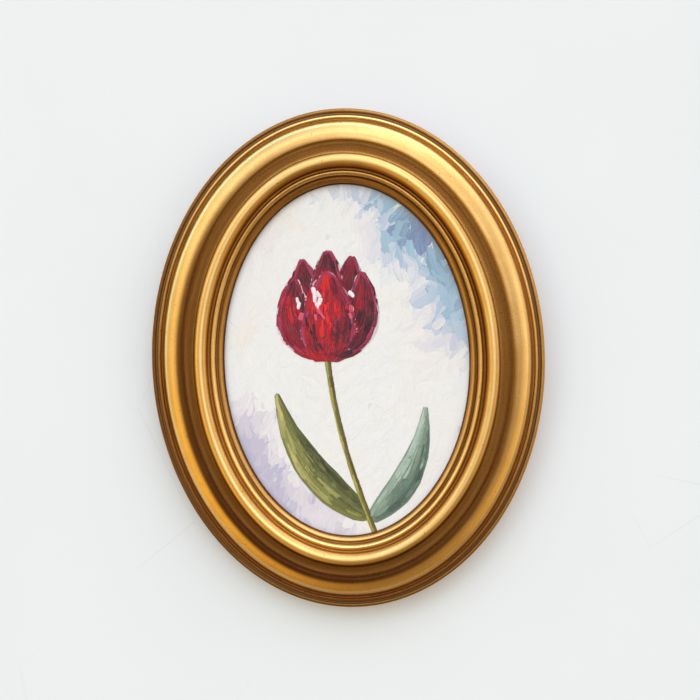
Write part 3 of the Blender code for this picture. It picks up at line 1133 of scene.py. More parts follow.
@dataclass
class Brushwork:
    """Ribbons of thick paint, each a copy of one modelled stroke, laid one over another.

    Places are in millimetres from the oval's centre, right and up, as the viewer sees them. The
    outline is full in the middle and drawn in at both ends, one share for each row. The gaps keep
    the hairs' patterns of two strokes apart.
    """

    name: str
    oval: Oval
    surface_y: float
    lowest: float = 0.0
    columns: int = 5
    rows: int = 12
    seed: int = 1
    step: float = 0.00011
    outline: tuple[float, ...] = (
        0.55, 0.86, 0.98, 1.0, 1.0, 1.0, 1.0, 0.99, 0.97, 0.93, 0.86, 0.74, 0.52,
    )
    gaps: Point2 = (9.7, 1.3)
    paths: list[np.ndarray] = field(default_factory=list)
    widths: list[float] = field(default_factory=list)
    loads: list[float] = field(default_factory=list)
    colours: list[tuple[Colour, Colour]] = field(default_factory=list)

    def lay(
        self, path: np.ndarray, width: float, load: float, first: Colour, second: Colour
    ) -> None:
        """Lay one stroke.

        Args:
            path: Its middle line, one row for each row of corners.
            width: Its full width.
            load: How thick the paint stands.
            first: The colour that most of it shows.
            second: The colour that streaks it.
        """
        self.paths.append(path)
        self.widths.append(width)
        self.loads.append(load)
        self.colours.append((first, second))

    def line(self, start: Point2, end: Point2, bow: float = 0.0) -> np.ndarray:
        """A path that bows out sideways.

        Args:
            start: Its first place.
            end: Its last place.
            bow: How far it bows, as a share of its length.

        Returns:
            One row for each row of corners.
        """
        a, b = np.array(start, float), np.array(end, float)
        t = np.linspace(0, 1, self.rows + 1)[:, None]
        side = np.array([(b - a)[1], -(b - a)[0]])
        return a + (b - a) * t + side * bow * 4 * t * (1 - t)

    def template(self) -> tuple[np.ndarray, np.ndarray]:
        """Model the stroke that all are copied from.

        Returns:
            Its corners, from -1 to 1 across and along, and its faces.
        """
        Bench.clear_selection()
        bpy.ops.mesh.primitive_grid_add(
            x_subdivisions=self.columns, y_subdivisions=self.rows, size=2
        )
        grid = bpy.context.object
        corners = Bench.coordinates(grid.data)[:, :2]
        faces = np.array([list(face.vertices) for face in grid.data.polygons])
        bpy.ops.object.delete()
        return corners, faces

    def build(self, material: bpy.types.Material) -> bpy.types.Object:
        """Copy the stroke along every path and join the copies.

        Args:
            material: The paint.

        Returns:
            The strokes, one piece.
        """
        rng = np.random.default_rng(self.seed)
        corners, faces = self.template()
        count, size = len(self.paths), len(corners)
        number = np.arange(count)[:, None]
        column = np.rint((corners[:, 0] + 1) / 2 * self.columns).astype(int)
        row = np.rint((corners[:, 1] + 1) / 2 * self.rows).astype(int)
        along = row / self.rows
        paths = np.array(self.paths)
        tangent = np.gradient(paths, axis=1)
        tangent /= np.maximum(np.linalg.norm(tangent, axis=2, keepdims=True), 1e-9)
        across = np.stack([tangent[..., 1], -tangent[..., 0]], axis=2)
        width = np.array(self.widths)[:, None]
        # The outline has a ragged edge and tail.
        edge = 1 + rng.normal(0, 0.07, (count, self.rows + 1, 2))
        side = np.where(corners[:, 0] > 0, 1, 0)
        half = width / 2 * np.array(self.outline)[row] * edge[:, row, side]
        ragged = rng.uniform(-0.2, 1.0, (count, self.columns + 1, 2)) * width[..., None] * 0.28
        ragged[:, (0, -1)] -= width[..., None] * 0.12
        head = np.where(row == 0, -ragged[:, column, 0] * 0.5, 0)
        push = np.where(row == self.rows, ragged[:, column, 1], head)
        flat = paths[:, row] + across[:, row] * (half * corners[:, 0])[..., None]
        flat = flat + tangent[:, row] * push[..., None]
        # The relief: furrows from the hairs, paint pushed to both sides, more where it starts.
        hairs = rng.uniform(0.15, 1.0, (count, self.columns + 1))
        hairs[:, (1, -2)] += 0.35
        body = hairs[:, column] * (1.0 - 0.45 * along) + rng.normal(0, 0.12, (count, size))
        rim = (column == 0) | (column == self.columns) | (row == 0) | (row == self.rows)
        height = np.array(self.loads)[:, None] * np.where(rim, -0.25, body)
        height += self.lowest + self.step * number
        # The colour: the second one streaks the first.
        first, second = np.array(self.colours).transpose(1, 0, 2)[:, :, None]
        streak = rng.beta(0.9, 1.6, (count, self.columns + 1))[:, column]
        streak = np.clip(streak + rng.normal(0, 0.08, (count, size)), 0, 1)
        paint = first + (second - first) * streak[..., None]
        length = np.linalg.norm(np.diff(paths, axis=1), axis=2).sum(axis=1)[:, None]
        gap_across, gap_deep = self.gaps
        bristle = np.stack(
            [
                corners[:, 0] * width / 2 + number * gap_across,
                along * length,
                np.broadcast_to(number * gap_deep, (count, size)),
            ],
            axis=2,
        )
        depth = self.surface_y - height * MM
        upward = self.oval.centre_z + flat[..., 1] * MM
        place = np.stack([flat[..., 0] * MM, depth, upward], axis=2)
        all_faces = (faces[None] + (number * size)[..., None]).reshape(-1, 4)
        mesh = bpy.data.meshes.new(self.name)
        mesh.from_pydata(place.reshape(-1, 3).tolist(), [], all_faces.tolist())
        Bench.attribute(mesh, "bristle", bristle.reshape(-1, 3))
        Bench.colour(mesh, "paint", paint.reshape(-1, 3))
        piece = bpy.data.objects.new(self.name, mesh)
        bpy.context.scene.collection.objects.link(piece)
        mesh.materials.append(material)
        Bench.pick(piece)
        bpy.ops.object.shade_smooth()
        return Bench.finish(piece, "painted_canvas_board", "painted_panel")


def smooth_step(value: float, low: float, high: float) -> float:
    """0 below low, 1 above high, and a soft turn between them."""
    share = min(max((value - low) / (high - low), 0.0), 1.0)
    return share * share * (3 - 2 * share)


def blend(first: Colour, second: Colour, share: float) -> Colour:
    """Two colours mixed on the palette."""
    return tuple(a + (b - a) * share for a, b in zip(first, second))


@dataclass
class Petal:
    """A petal or leaf as a painter blocks it in: from its foot to its tip, its width and its lean.

    A higher taper draws its foot and tip out longer and thinner.
    """

    foot: Point2
    tip: Point2
    width: float
    lean: float
    light: float
    strokes: int = 60
    taper: float = 0.62

    def at(self, along: np.ndarray, across: np.ndarray | float) -> np.ndarray:
        """Places on the petal.

        Args:
            along: 0 at the foot, 1 at the tip.
            across: -1 to 1 from the left edge to the right one.

        Returns:
            Rows of places in millimetres.
        """
        foot, tip = np.array(self.foot), np.array(self.tip)
        axis = tip - foot
        side = np.array([axis[1], -axis[0]]) / np.linalg.norm(axis)
        bend = 4 * along * (1 - along) * self.lean
        swell = np.sin(np.pi * np.clip(along, 0, 1) ** 0.66) ** self.taper * self.width / 2
        return foot + axis * along[:, None] + side * (bend + swell * across)[:, None]


@dataclass
class Painting:
    """A generic study of one red bloom on a pale ground, in the colours of its kind."""

    oval: Oval
    surface_y: float
    seed: int = 7
    even_strokes: int = 400
    ground_strokes: int = 1000
    touches: int = 60
    bright_patches: int = 16
    reach: float = 2.2
    body: float = 0.99

    def __post_init__(self) -> None:
        """Start the random draws and the two layers of paint."""
        self.rng = np.random.default_rng(self.seed)
        self.ground = Brushwork("paint_ground", self.oval, self.surface_y, 0.0, seed=11)
        self.motif = Brushwork("paint_bloom", self.oval, self.surface_y, 0.16, seed=12)

    def inside(self, path: np.ndarray) -> np.ndarray:
        """Draw a path in so that it ends under the frame's lip.

        Args:
            path: The path.

        Returns:
            The path with its outer places drawn in.
        """
        half = np.array([self.oval.half_width, self.oval.half_height]) / MM + self.reach
        far = np.linalg.norm(path / half, axis=1)
        return path / np.maximum(far, 1.0)[:, None]

    def swirl(self, place: Sequence[float], scale: float, salt: float) -> float:
        """A smooth value from about -1 to 1 that wanders over the board."""
        return noise.noise(Vector((place[0] / scale, place[1] / scale, salt)))

    def shade(self, colour: Colour, spread: float = 0.05) -> Colour:
        """A colour as mixed on the palette: never quite the same twice.

        Args:
            colour: The colour meant.
            spread: How far it may stray.

        Returns:
            The colour mixed.
        """
        jitter = 1 + self.rng.normal(0, spread) + self.rng.normal(0, spread * 0.3, 3)
        return tuple(float(v) for v in np.clip(np.array(colour) * jitter * self.body, 0.0, 0.85))

    def on_scale(self, scale: Sequence[Colour], value: float) -> Colour:
        """A colour between those of a scale.

        Args:
            scale: Colours from dark to light.
            value: 0 for the darkest to 1 for the lightest.

        Returns:
            The colour.
        """
        spot = min(max(value, 0.0), 0.9999) * (len(scale) - 1)
        first = int(spot)
        return blend(scale[first], scale[first + 1], spot - first)

    def ground_colour(self, place: Sequence[float]) -> Colour:
        """The colour of the pale ground, with its cool veils.

        Args:
            place: The place on the board.

        Returns:
            The colour there.
        """
        right, up = place[0], place[1]
        high = 0.80 * right + 0.60 * up + self.swirl(place, 21.0, 3.0) * 11
        low = -0.78 * right - 0.62 * up + self.swirl(place, 17.0, 5.0) * 12
        pale = 0.5 + 0.8 * self.swirl(place, 26.0, 9.0)
        pale = blend(tint(244, 243, 240), tint(237, 234, 232), pale)
        warm = 0.35 * smooth_step(self.swirl(place, 19.0, 13.0), 0.15, 0.6)
        pale = blend(pale, tint(240, 230, 214), warm)
        lilac = blend(tint(222, 214, 224), tint(190, 186, 210), smooth_step(low, 50, 70))
        cool = blend(tint(206, 210, 226), tint(158, 192, 214), smooth_step(high, 47, 60))
        deep = 0.5 + 0.9 * self.swirl(place, 11.0, 7.0)
        deep = blend(tint(128, 166, 178), tint(118, 130, 180), deep)
        cool = blend(cool, deep, smooth_step(high, 58, 72))
        veiled = blend(pale, lilac, smooth_step(low, 42, 62))
        return blend(veiled, cool, smooth_step(high, 38, 54))

    def paint_ground(self) -> None:
        """Short strokes in turning directions, edge to edge, then small thick touches."""
        half = np.array([self.oval.half_width, self.oval.half_height]) / MM
        for number in range(self.ground_strokes + self.touches):
            # The first coat is spread evenly, so that none of the primed board is left bare.
            first_coat = number < self.even_strokes
            radius, angle = math.sqrt(self.rng.uniform(0, 1)), self.rng.uniform(0, 2 * math.pi)
            if first_coat:
                radius = math.sqrt((number + 0.5) / self.even_strokes)
                angle = number * math.pi * (3 - math.sqrt(5))
            place = half * radius * np.array([math.cos(angle), math.sin(angle)])
            turn = 1.1 + 1.3 * self.swirl(place, 30.0, 1.0) + self.rng.normal(0, 0.5)
            if first_coat:
                length, width, load = self.rng.uniform(12, 24), self.rng.uniform(5.0, 9.0), 0.016
            elif number < self.ground_strokes:
                length, width, load = self.rng.uniform(5, 12), self.rng.uniform(2.2, 4.6), 0.018
            else:
                length, width, load = self.rng.uniform(1.5, 5.0), self.rng.uniform(0.5, 1.2), 0.07
            way = np.array([math.cos(turn), math.sin(turn)]) * length / 2
            path = self.ground.line(place - way, place + way, self.rng.normal(0, 0.06))
            near = self.ground_colour(place + self.rng.normal(0, 5, 2))
            tone = self.shade(self.ground_colour(place), 0.012)
            load *= self.rng.uniform(0.7, 1.3)
            self.ground.lay(self.inside(path), width, load, tone, self.shade(near, 0.02))

    def block_in(self, petal: Petal, scale: Sequence[Colour]) -> None:
        """Cover a petal or leaf with thin broad strokes from foot to tip.

        Args:
            petal: The petal or leaf.
            scale: Its colours from dark to light.
        """
        t = np.linspace(0.0, 0.99, self.motif.rows + 1) ** 1.5
        for across in (-0.8, 0.8, -0.5, 0.5, -0.2, 0.2):
            tone = self.shade(self.on_scale(scale, petal.light + 0.1 - 0.15 * across), 0.05)
            path = self.inside(petal.at(t, across))
            self.motif.lay(path, petal.width * 0.30, 0.03, tone, self.shade(tone, 0.08))

    def paint_petal(self, petal: Petal) -> None:
        """Block a petal in, model it in short strokes, then catch its edges with rose.

        Args:
            petal: The petal.
        """
        reds = (
            tint(58, 4, 22), tint(92, 6, 34), tint(132, 8, 38),
            tint(182, 6, 28), tint(216, 14, 26),
        )
        rose, pink = tint(176, 44, 92), tint(214, 112, 150)
        for side in (-1, 1):
            for start in np.arange(0.06, 0.92, 0.06):
                t = np.linspace(start, start + self.rng.uniform(0.06, 0.12), self.motif.rows + 1)
                path = petal.at(t, side * self.rng.uniform(1.0, 1.09))
                ground = self.ground_colour(path[0])
                blush = blend(ground, rose, self.rng.uniform(0.2, 0.45))
                self.motif.lay(path, 1.7, 0.015, blush, blend(ground, rose, 0.2))
        self.block_in(petal, reds)
        for _ in range(petal.strokes):
            across, start = self.rng.uniform(-0.92, 0.92), self.rng.uniform(0.0, 0.84)
            end = min(0.985, start + self.rng.uniform(0.12, 0.26))
            t = np.linspace(start, end, self.motif.rows + 1)
            path = petal.at(t, across * self.rng.uniform(0.9, 1.0))
            spot = path[len(path) // 2]
            value = petal.light + 0.30 * t.mean() - 0.16 * across - 0.30 * across**2
            value += 0.55 * self.swirl(spot, 6.5, 2.0) + self.rng.normal(0, 0.06)
            tone = self.shade(self.on_scale(reds, value), 0.04)
            second = self.shade(self.on_scale(reds, value + self.rng.normal(0.06, 0.10)), 0.04)
            width = self.rng.uniform(1.8, 3.6) * (1 - 0.45 * max(t.mean() - 0.6, 0))
            self.motif.lay(path, width, self.rng.uniform(0.03, 0.07), tone, second)
        for side in (-1, 1):
            for start in np.arange(0.12, 0.97, 0.07):
                end = min(1.0, start + self.rng.uniform(0.10, 0.18))
                t = np.linspace(start, end, self.motif.rows + 1)
                path = petal.at(t, side * self.rng.uniform(0.84, 1.02))
                share = 0.35 + 0.5 * self.swirl(path[0], 8.0, 6.0) + self.rng.normal(0, 0.12)
                rosy = blend(rose, pink, self.rng.random() ** 3)
                edge = blend(reds[2], rosy, min(max(share, 0.1), 0.9))
                width = self.rng.uniform(1.0, 2.0)
                self.motif.lay(path, width, 0.045, self.shade(edge), self.shade(rose))

    def dab(self, right: float, up: float, size: float, tone: Colour, second: Colour) -> None:
        """Press a small thick dab of paint on, roughly downwards.

        Args:
            right: Its place to the right of the centre.
            up: Its place above the centre.
            size: Its length.
            tone: The colour that most of it shows.
            second: The colour that streaks it.
        """
        turn = self.rng.normal(-1.35, 0.35)
        way = np.array([math.cos(turn), math.sin(turn)]) * size / 2
        place = np.array([right, up])
        path = self.motif.line(place - way, place + way, self.rng.normal(0, 0.08))
        self.motif.lay(path, size * self.rng.uniform(0.45, 0.7), 0.16, tone, second)

    def paint_bloom(self) -> None:
        """A cup of six petals, the far ones first, then folds, bright patches and lights."""
        petals = (
            Petal((-10.0, 9.0), (-20.0, 49.0), 17.0, -2.5, 0.06),
            Petal((-8.0, 9.0), (4.0, 50.0), 17.0, 2.5, 0.06),
            Petal((-9.0, 9.0), (-7.5, 53.0), 18.0, 0.0, 0.14),
            Petal((-10.0, 3.5), (-24.0, 40.5), 18.0, -7.0, 0.40, 75),
            Petal((-8.0, 3.5), (8.5, 42.5), 18.0, 7.0, 0.26, 75),
            Petal((-9.0, 2.0), (-8.0, 43.0), 25.0, 0.5, 0.52, 120),
        )
        for petal in petals:
            self.paint_petal(petal)
        dark = (tint(56, 4, 22), tint(92, 6, 34))
        folds = (
            ((-13, 9), (-20, 33), -0.10),
            ((-4.5, 9), (3.5, 34), 0.10),
            ((-10, 5), (-15, 20), -0.12),
            ((-7, 5), (-3, 18), 0.1),
        )
        for start, end, bow in folds:
            path = self.motif.line(start, end, bow)
            self.motif.lay(path, 1.8, 0.04, self.shade(dark[0]), dark[1])
        bright, scarlet = tint(226, 12, 26), tint(240, 36, 40)
        for _ in range(self.bright_patches):
            right, up = self.rng.normal(-8.5, 3.2), self.rng.normal(22.0, 5.0)
            foot = (right + self.rng.normal(0, 0.5), up - 2.6)
            path = self.motif.line((right, up + 2.6), foot, 0.04)
            width = self.rng.uniform(1.6, 2.8)
            self.motif.lay(path, width, 0.05, self.shade(bright), self.shade(scarlet))
        coral, pink = tint(226, 60, 74), tint(222, 120, 158)
        glints = (
            (-12.0, 25.0), (-14.0, 21.5), (-10.5, 22.0),
            (3.5, 25.5), (2.5, 22.0), (-21.0, 22.0),
        )
        for right, up in glints:
            self.dab(right, up, self.rng.uniform(3.0, 4.5), self.shade(coral), self.shade(pink))
        white, blush = tint(250, 246, 248), tint(238, 206, 220)
        lights = (
            (-14.6, 34.0), (-12.4, 32.6), (-14.2, 30.6), (-12.2, 29.0), (-13.0, 27.2),
            (-22.6, 29.6), (-21.8, 27.2), (3.4, 32.4),
        )
        for right, up in lights:
            self.dab(right, up, self.rng.uniform(3.0, 4.4), white, blush)

    def paint_stem(self) -> None:
        """The stem's strokes, brown on its shaded side, olive, then yellow where it is lit."""
        t = np.linspace(0, 1, 60)[:, None]
        foot, pull, end = np.array([-9.0, 5.0]), np.array([-7.0, -34.0]), np.array([14.0, -87.0])
        curve = (1 - t) ** 2 * foot + 2 * t * (1 - t) * pull + t**2 * end
        brown, olive, lime = tint(84, 60, 30), tint(118, 112, 44), tint(190, 182, 84)
        for shift, tone in ((0.75, brown), (0.0, olive), (-0.6, lime)):
            for start in range(0, 54, 4):
                part = curve[start : start + 10]
                steps = np.linspace(0, len(part) - 1, self.motif.rows + 1)
                known = np.arange(len(part))
                path = np.stack([np.interp(steps, known, part[:, k]) for k in (0, 1)], axis=1)
                path[:, 0] += shift + self.rng.normal(0, 0.12)
                width = self.rng.uniform(1.1, 1.6)
                first, second = self.shade(tone, 0.09), self.shade(olive, 0.09)
                self.motif.lay(self.inside(path), width, 0.07, first, second)

    def paint_leaf(self, leaf: Petal, scale: Sequence[Colour]) -> None:
        """A long leaf in short strokes along it, light on the left of its rib.

        Args:
            leaf: The leaf.
            scale: Its colours from dark to light.
        """
        self.block_in(leaf, scale)
        for _ in range(leaf.strokes):
            across, start = self.rng.uniform(-0.92, 0.92), self.rng.uniform(0.0, 0.86)
            end = min(0.99, start + self.rng.uniform(0.12, 0.24))
            t = np.linspace(start, end, self.motif.rows + 1)
            path = leaf.at(t, across)
            value = leaf.light - 0.35 * across + 0.3 * t.mean() + self.rng.normal(0, 0.10)
            value += 0.35 * self.swirl(path[0], 7.0, 4.0)
            tone = self.shade(self.on_scale(scale, value), 0.04)
            second = self.on_scale(scale, value + self.rng.normal(0.1, 0.15))
            width, load = self.rng.uniform(1.3, 2.4), self.rng.uniform(0.04, 0.08)
            self.motif.lay(self.inside(path), width, load, tone, second)

    def paint_leaves(self) -> None:
        """Two leaves that rise from low on the stem."""
        olive = (
            tint(58, 62, 34), tint(88, 94, 46), tint(122, 124, 62),
            tint(160, 158, 88), tint(198, 192, 122),
        )
        grey = (
            tint(62, 84, 74), tint(92, 116, 100), tint(126, 148, 128),
            tint(160, 184, 168), tint(190, 206, 194),
        )
        self.paint_leaf(Petal((9.5, -76.0), (-34.0, -15.0), 14.5, -8.0, 0.30, 150, 1.0), olive)
        self.paint_leaf(Petal((10.5, -77.0), (38.0, -22.0), 12.5, 7.0, 0.34, 120, 1.0), grey)

    def build(self, thin: bpy.types.Material, thick: bpy.types.Material) -> list[bpy.types.Object]:
        """Paint the ground, the leaves, the stem and the bloom, in that order.

        Args:
            thin: The paint of the ground.
            thick: The paint of the leaves, stem and bloom.

        Returns:
            The two layers.
        """
        self.paint_ground()
        self.paint_leaves()
        self.paint_stem()
        self.paint_bloom()
        return [self.ground.build(thin), self.motif.build(thick)]


# --------------------------------------------------------------------------------------------
# Boards and hardware
# --------------------------------------------------------------------------------------------


@dataclass
class Boards:
    """The primed board that carries the paint and the backing board behind it."""

    oval: Oval
    corner: float = 0.35 * MM
    ring: int = 160

    def board(
        self, name: str, node: str, material: bpy.types.Material, slot: str
    ) -> bpy.types.Object:
        """An oval board in a node's place, its edges eased.

        Args:
            name: The piece's name.
            node: The node it stands for.
            material: Its finish.
            slot: The record's slot of that finish.

        Returns:
            The piece.
        """
        low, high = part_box(node)
        Bench.clear_selection()
        upright = (math.pi / 2, 0, 0)
        bpy.ops.mesh.primitive_circle_add(
            vertices=self.ring, radius=1.0, fill_type="NGON", rotation=upright
        )
        board = bpy.context.object
        board.name = board.data.name = name
        board.scale = ((high.x - low.x) / 2, (high.z - low.z) / 2, 1)
        board.location = ((low.x + high.x) / 2, low.y, (low.z + high.z) / 2)
        bpy.ops.object.transform_apply(location=True, rotation=True, scale=True)
        Bench.thicken(board, high.y - low.y)
        Bench.soften(board, self.corner, 3)
        board.data.materials.append(material)
        return Bench.finish(board, slot, node)

    def build(
        self, canvas: bpy.types.Material, pulp: bpy.types.Material
    ) -> list[bpy.types.Object]:
        """Make both boards.

        Args:
            canvas: The finish of the primed board.
            pulp: The finish of the backing board.

        Returns:
            The boards.
        """
        primed = self.board("primed_board", "painted_panel", canvas, "painted_canvas_board")
        return [primed, self.board("pulp_backing", "backing_board", pulp, "grey_board")]


@dataclass
class Hardware:
    """Hanger, nails, framer's points and bumpers."""

    tooth_pitch: float = 2.6 * MM
    tooth_depth: float = 1.6 * MM
    notches: int = 7
    bend_in: float = 11.5 * MM
    bend_out: float = 13.5 * MM
    thickness: float = 0.8 * MM
    round_end: float = 2.6 * MM
    nail_head: float = 0.7 * MM
    nail_eased: float = 0.06 * MM
    nail_point: float = 0.7 * MM

    def hanger_outline(self, low: Vector, high: Vector) -> list[Point2]:
        """The strip's outline, with rounded ends and the teeth along its lower edge.

        Args:
            low: The lower left corner of the strip's box.
            high: Its upper right corner.

        Returns:
            Corners as (x, z).
        """
        corner = self.round_end
        outline: list[Point2] = []
        middles = (
            (high.x - corner, low.z + corner, -90),
            (high.x - corner, high.z - corner, 0),
            (low.x + corner, high.z - corner, 90),
            (low.x + corner, low.z + corner, 180),
        )
        for x, z, start in middles:
            for step in range(7):
                angle = math.radians(start + 15 * step)
                outline.append((x + corner * math.cos(angle), z + corner * math.sin(angle)))
        left = -self.notches * self.tooth_pitch / 2
        for number in range(self.notches):
            x = left + number * self.tooth_pitch
            outline.append((x, low.z))
            outline.append((x + self.tooth_pitch / 2, low.z + self.tooth_depth))
        outline.append((-left, low.z))
        return outline

    def build_hanger(self, brass: bpy.types.Material) -> bpy.types.Object:
        """A stamped strip, its middle raised off the wood on two bends.

        Args:
            brass: Its finish.

        Returns:
            The strip.
        """
        low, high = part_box("sawtooth_hanger")
        strip = Bench.plate("toothed_hanger", self.hanger_outline(low, high), low.y)
        for cut in (-self.bend_out, -self.bend_in, self.bend_in, self.bend_out):
            Bench.slice_across(strip, cut)
        corners = Bench.coordinates(strip.data)
        rise = high.y - low.y - self.thickness
        ramp = (self.bend_out - np.abs(corners[:, 0])) / (self.bend_out - self.bend_in)
        corners[:, 1] += rise * np.clip(ramp, 0, 1)
        Bench.set_coordinates(strip.data, corners)
        Bench.thicken(strip, self.thickness)
        Bench.soften(strip, 0.09 * MM, 2)
        strip.data.materials.append(brass)
        return Bench.finish(strip, "brassed_steel", "sawtooth_hanger")

    def build_nails(self, brass: bpy.types.Material) -> list[bpy.types.Object]:
        """Domed nails through the hanger's ends.

        Args:
            brass: Their finish.

        Returns:
            The nails.
        """
        nails = []
        for side in ("left", "right"):
            low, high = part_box(f"hanger_nail_{side}")
            radius, length = (high.x - low.x) / 2, high.y - low.y
            head, eased, shank = self.nail_head, self.nail_eased, radius / 3
            profile = [
                (radius * math.sin(a), head * (0.35 + 0.65 * math.cos(a)))
                for a in np.linspace(0.0, math.pi / 2, 9)
            ]
            profile += [(radius, eased), (radius - eased, 0.0), (shank, 0.0)]
            profile += [(shank, head - length + self.nail_point), (0.0, head - length)]
            nail = Bench.chain(f"domed_nail_{side}", profile, closed=False)
            Bench.turn(nail, 28)
            middle = (low + high) / 2
            Bench.seat(nail, middle.x, high.y - head, middle.z)
            nail.data.materials.append(brass)
            bpy.ops.object.shade_smooth_by_angle(angle=math.radians(40))
            nails.append(Bench.finish(nail, "brassed_steel", f"hanger_nail_{side}"))
        return nails

    def dress_points(
        self, nodes: dict[str, bpy.types.Object], steel: bpy.types.Material
    ) -> None:
        """Give the framer's points their steel; their own shape is right.

        Args:
            nodes: The frame's nodes by name.
            steel: The points' finish.
        """
        for name, node in nodes.items():
            if name.startswith("framers_point"):
                node.data.materials.clear()
                node.data.materials.append(steel)

    def build_bumpers(self, felt: bpy.types.Material) -> list[bpy.types.Object]:
        """Felt discs with a soft, slightly swollen edge.

        Args:
            felt: Their finish.

        Returns:
            The discs.
        """
        bumpers = []
        for side in ("left", "right"):
            low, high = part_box(f"wall_bumper_{side}")
            radius, depth = (high.x - low.x) / 2, high.y - low.y
            profile = [(0.0, depth), (radius * 0.6, depth), (radius * 0.86, depth * 0.99)]
            profile += [
                (radius * (0.9 + 0.1 * math.sin(a)), depth * (0.52 + 0.46 * math.cos(a)))
                for a in np.linspace(0.2, math.pi - 0.2, 11)
            ]
            profile += [(radius * 0.86, 0.0), (0.0, 0.0)]
            bumper = Bench.chain(f"felt_bumper_{side}", profile, closed=False)
            Bench.turn(bumper, 56)
            middle = (low + high) / 2
            Bench.seat(bumper, middle.x, low.y, middle.z)
            bumper.data.materials.append(felt)
            bpy.ops.object.shade_smooth_by_angle(angle=math.radians(50))
            bumpers.append(Bench.finish(bumper, "felt", f"wall_bumper_{side}"))
        return bumpers


# --------------------------------------------------------------------------------------------
# Stage, light and camera
# --------------------------------------------------------------------------------------------


def bearing(tilt: float, around: float) -> tuple[float, float, float]:
    """A direction that leaves the picture.

    Args:
        tilt: Degrees from straight forwards.
        around: Where it tilts to: 0 is the viewer's right and 90 is above.

    Returns:
        The direction, of length 1.
    """
    t, a = math.radians(tilt), math.radians(around)
    return math.sin(t) * math.cos(a), -math.cos(t), math.sin(t) * math.sin(a)


@dataclass(frozen=True)
class Softbox:
    """A round soft light that shines at the picture from a bearing, its size in metres."""

    name: str
    tilt: float
    around: float
    size: float
    power: float
    distance: float = 2.0

    def build(self, target: Vector) -> None:
        """Hang the light.

        Args:
            target: What it shines at.
        """
        way = Vector(bearing(self.tilt, self.around))
        data = bpy.data.lights.new(self.name, "AREA")
        data.shape = "DISK"
        data.size = self.size
        data.energy = self.power
        light = bpy.data.objects.new(self.name, data)
        bpy.context.scene.collection.objects.link(light)
        light.location = target + way * self.distance
        light.rotation_euler = (-way).to_track_quat("-Z", "Y").to_euler()
        light.visible_camera = False


@dataclass(frozen=True)
class Glow:
    """A soft patch of light in the room at a bearing from the picture.

    The higher its sharpness, the smaller it is.
    """

    name: str
    tilt: float
    around: float
    level: float
    colour: Colour
    sharpness: float


LAMPS = (
    Softbox("behind_left", 160, 150, 1.2, 12),
    Softbox("behind_right", 160, 30, 1.2, 16),
)
ROOM = (
    Glow("window_above", 50, 90, 2.0, (0.88, 1.0, 1.2), 9),
    Glow("window_to_the_right", 72, 60, 1.9, (1.0, 1.0, 1.02), 12),
    Glow("front_wall", 2, 45, 1.02, (1.0, 0.98, 0.95), 12),
    Glow("front_wall_right", 22, 42, 1.28, (0.94, 0.97, 1.05), 18),
    Glow("right_wall", 68, 12, 1.5, (1.0, 1.0, 1.03), 12),
    Glow("ceiling_left", 54, 134, 1.32, (0.86, 1.0, 1.25), 12),
    Glow("left_wall", 58, 163, 1.3, (1.0, 0.95, 0.74), 13),
    Glow("left_shelf", 60, 203, 1.15, (1.0, 0.74, 0.16), 13),
    Glow("wooden_floor_left", 58, 238, 0.74, (1.0, 0.62, 0.1), 13),
    Glow("wooden_floor", 74, 276, 0.28, (1.0, 0.64, 0.15), 13),
    Glow("wooden_floor_right", 56, 308, 0.4, (1.0, 0.61, 0.1), 13),
    Glow("right_shelf", 66, 334, 0.82, (1.0, 0.78, 0.34), 13),
    Glow("picture_wall_above", 102, 100, 0.8, (1.0, 1.02, 1.1), 10),
    Glow("picture_wall_left", 102, 152, 0.8, (1.0, 1.0, 0.9), 10),
    Glow("picture_wall_below", 100, 208, 0.55, (1.0, 0.8, 0.25), 10),
)


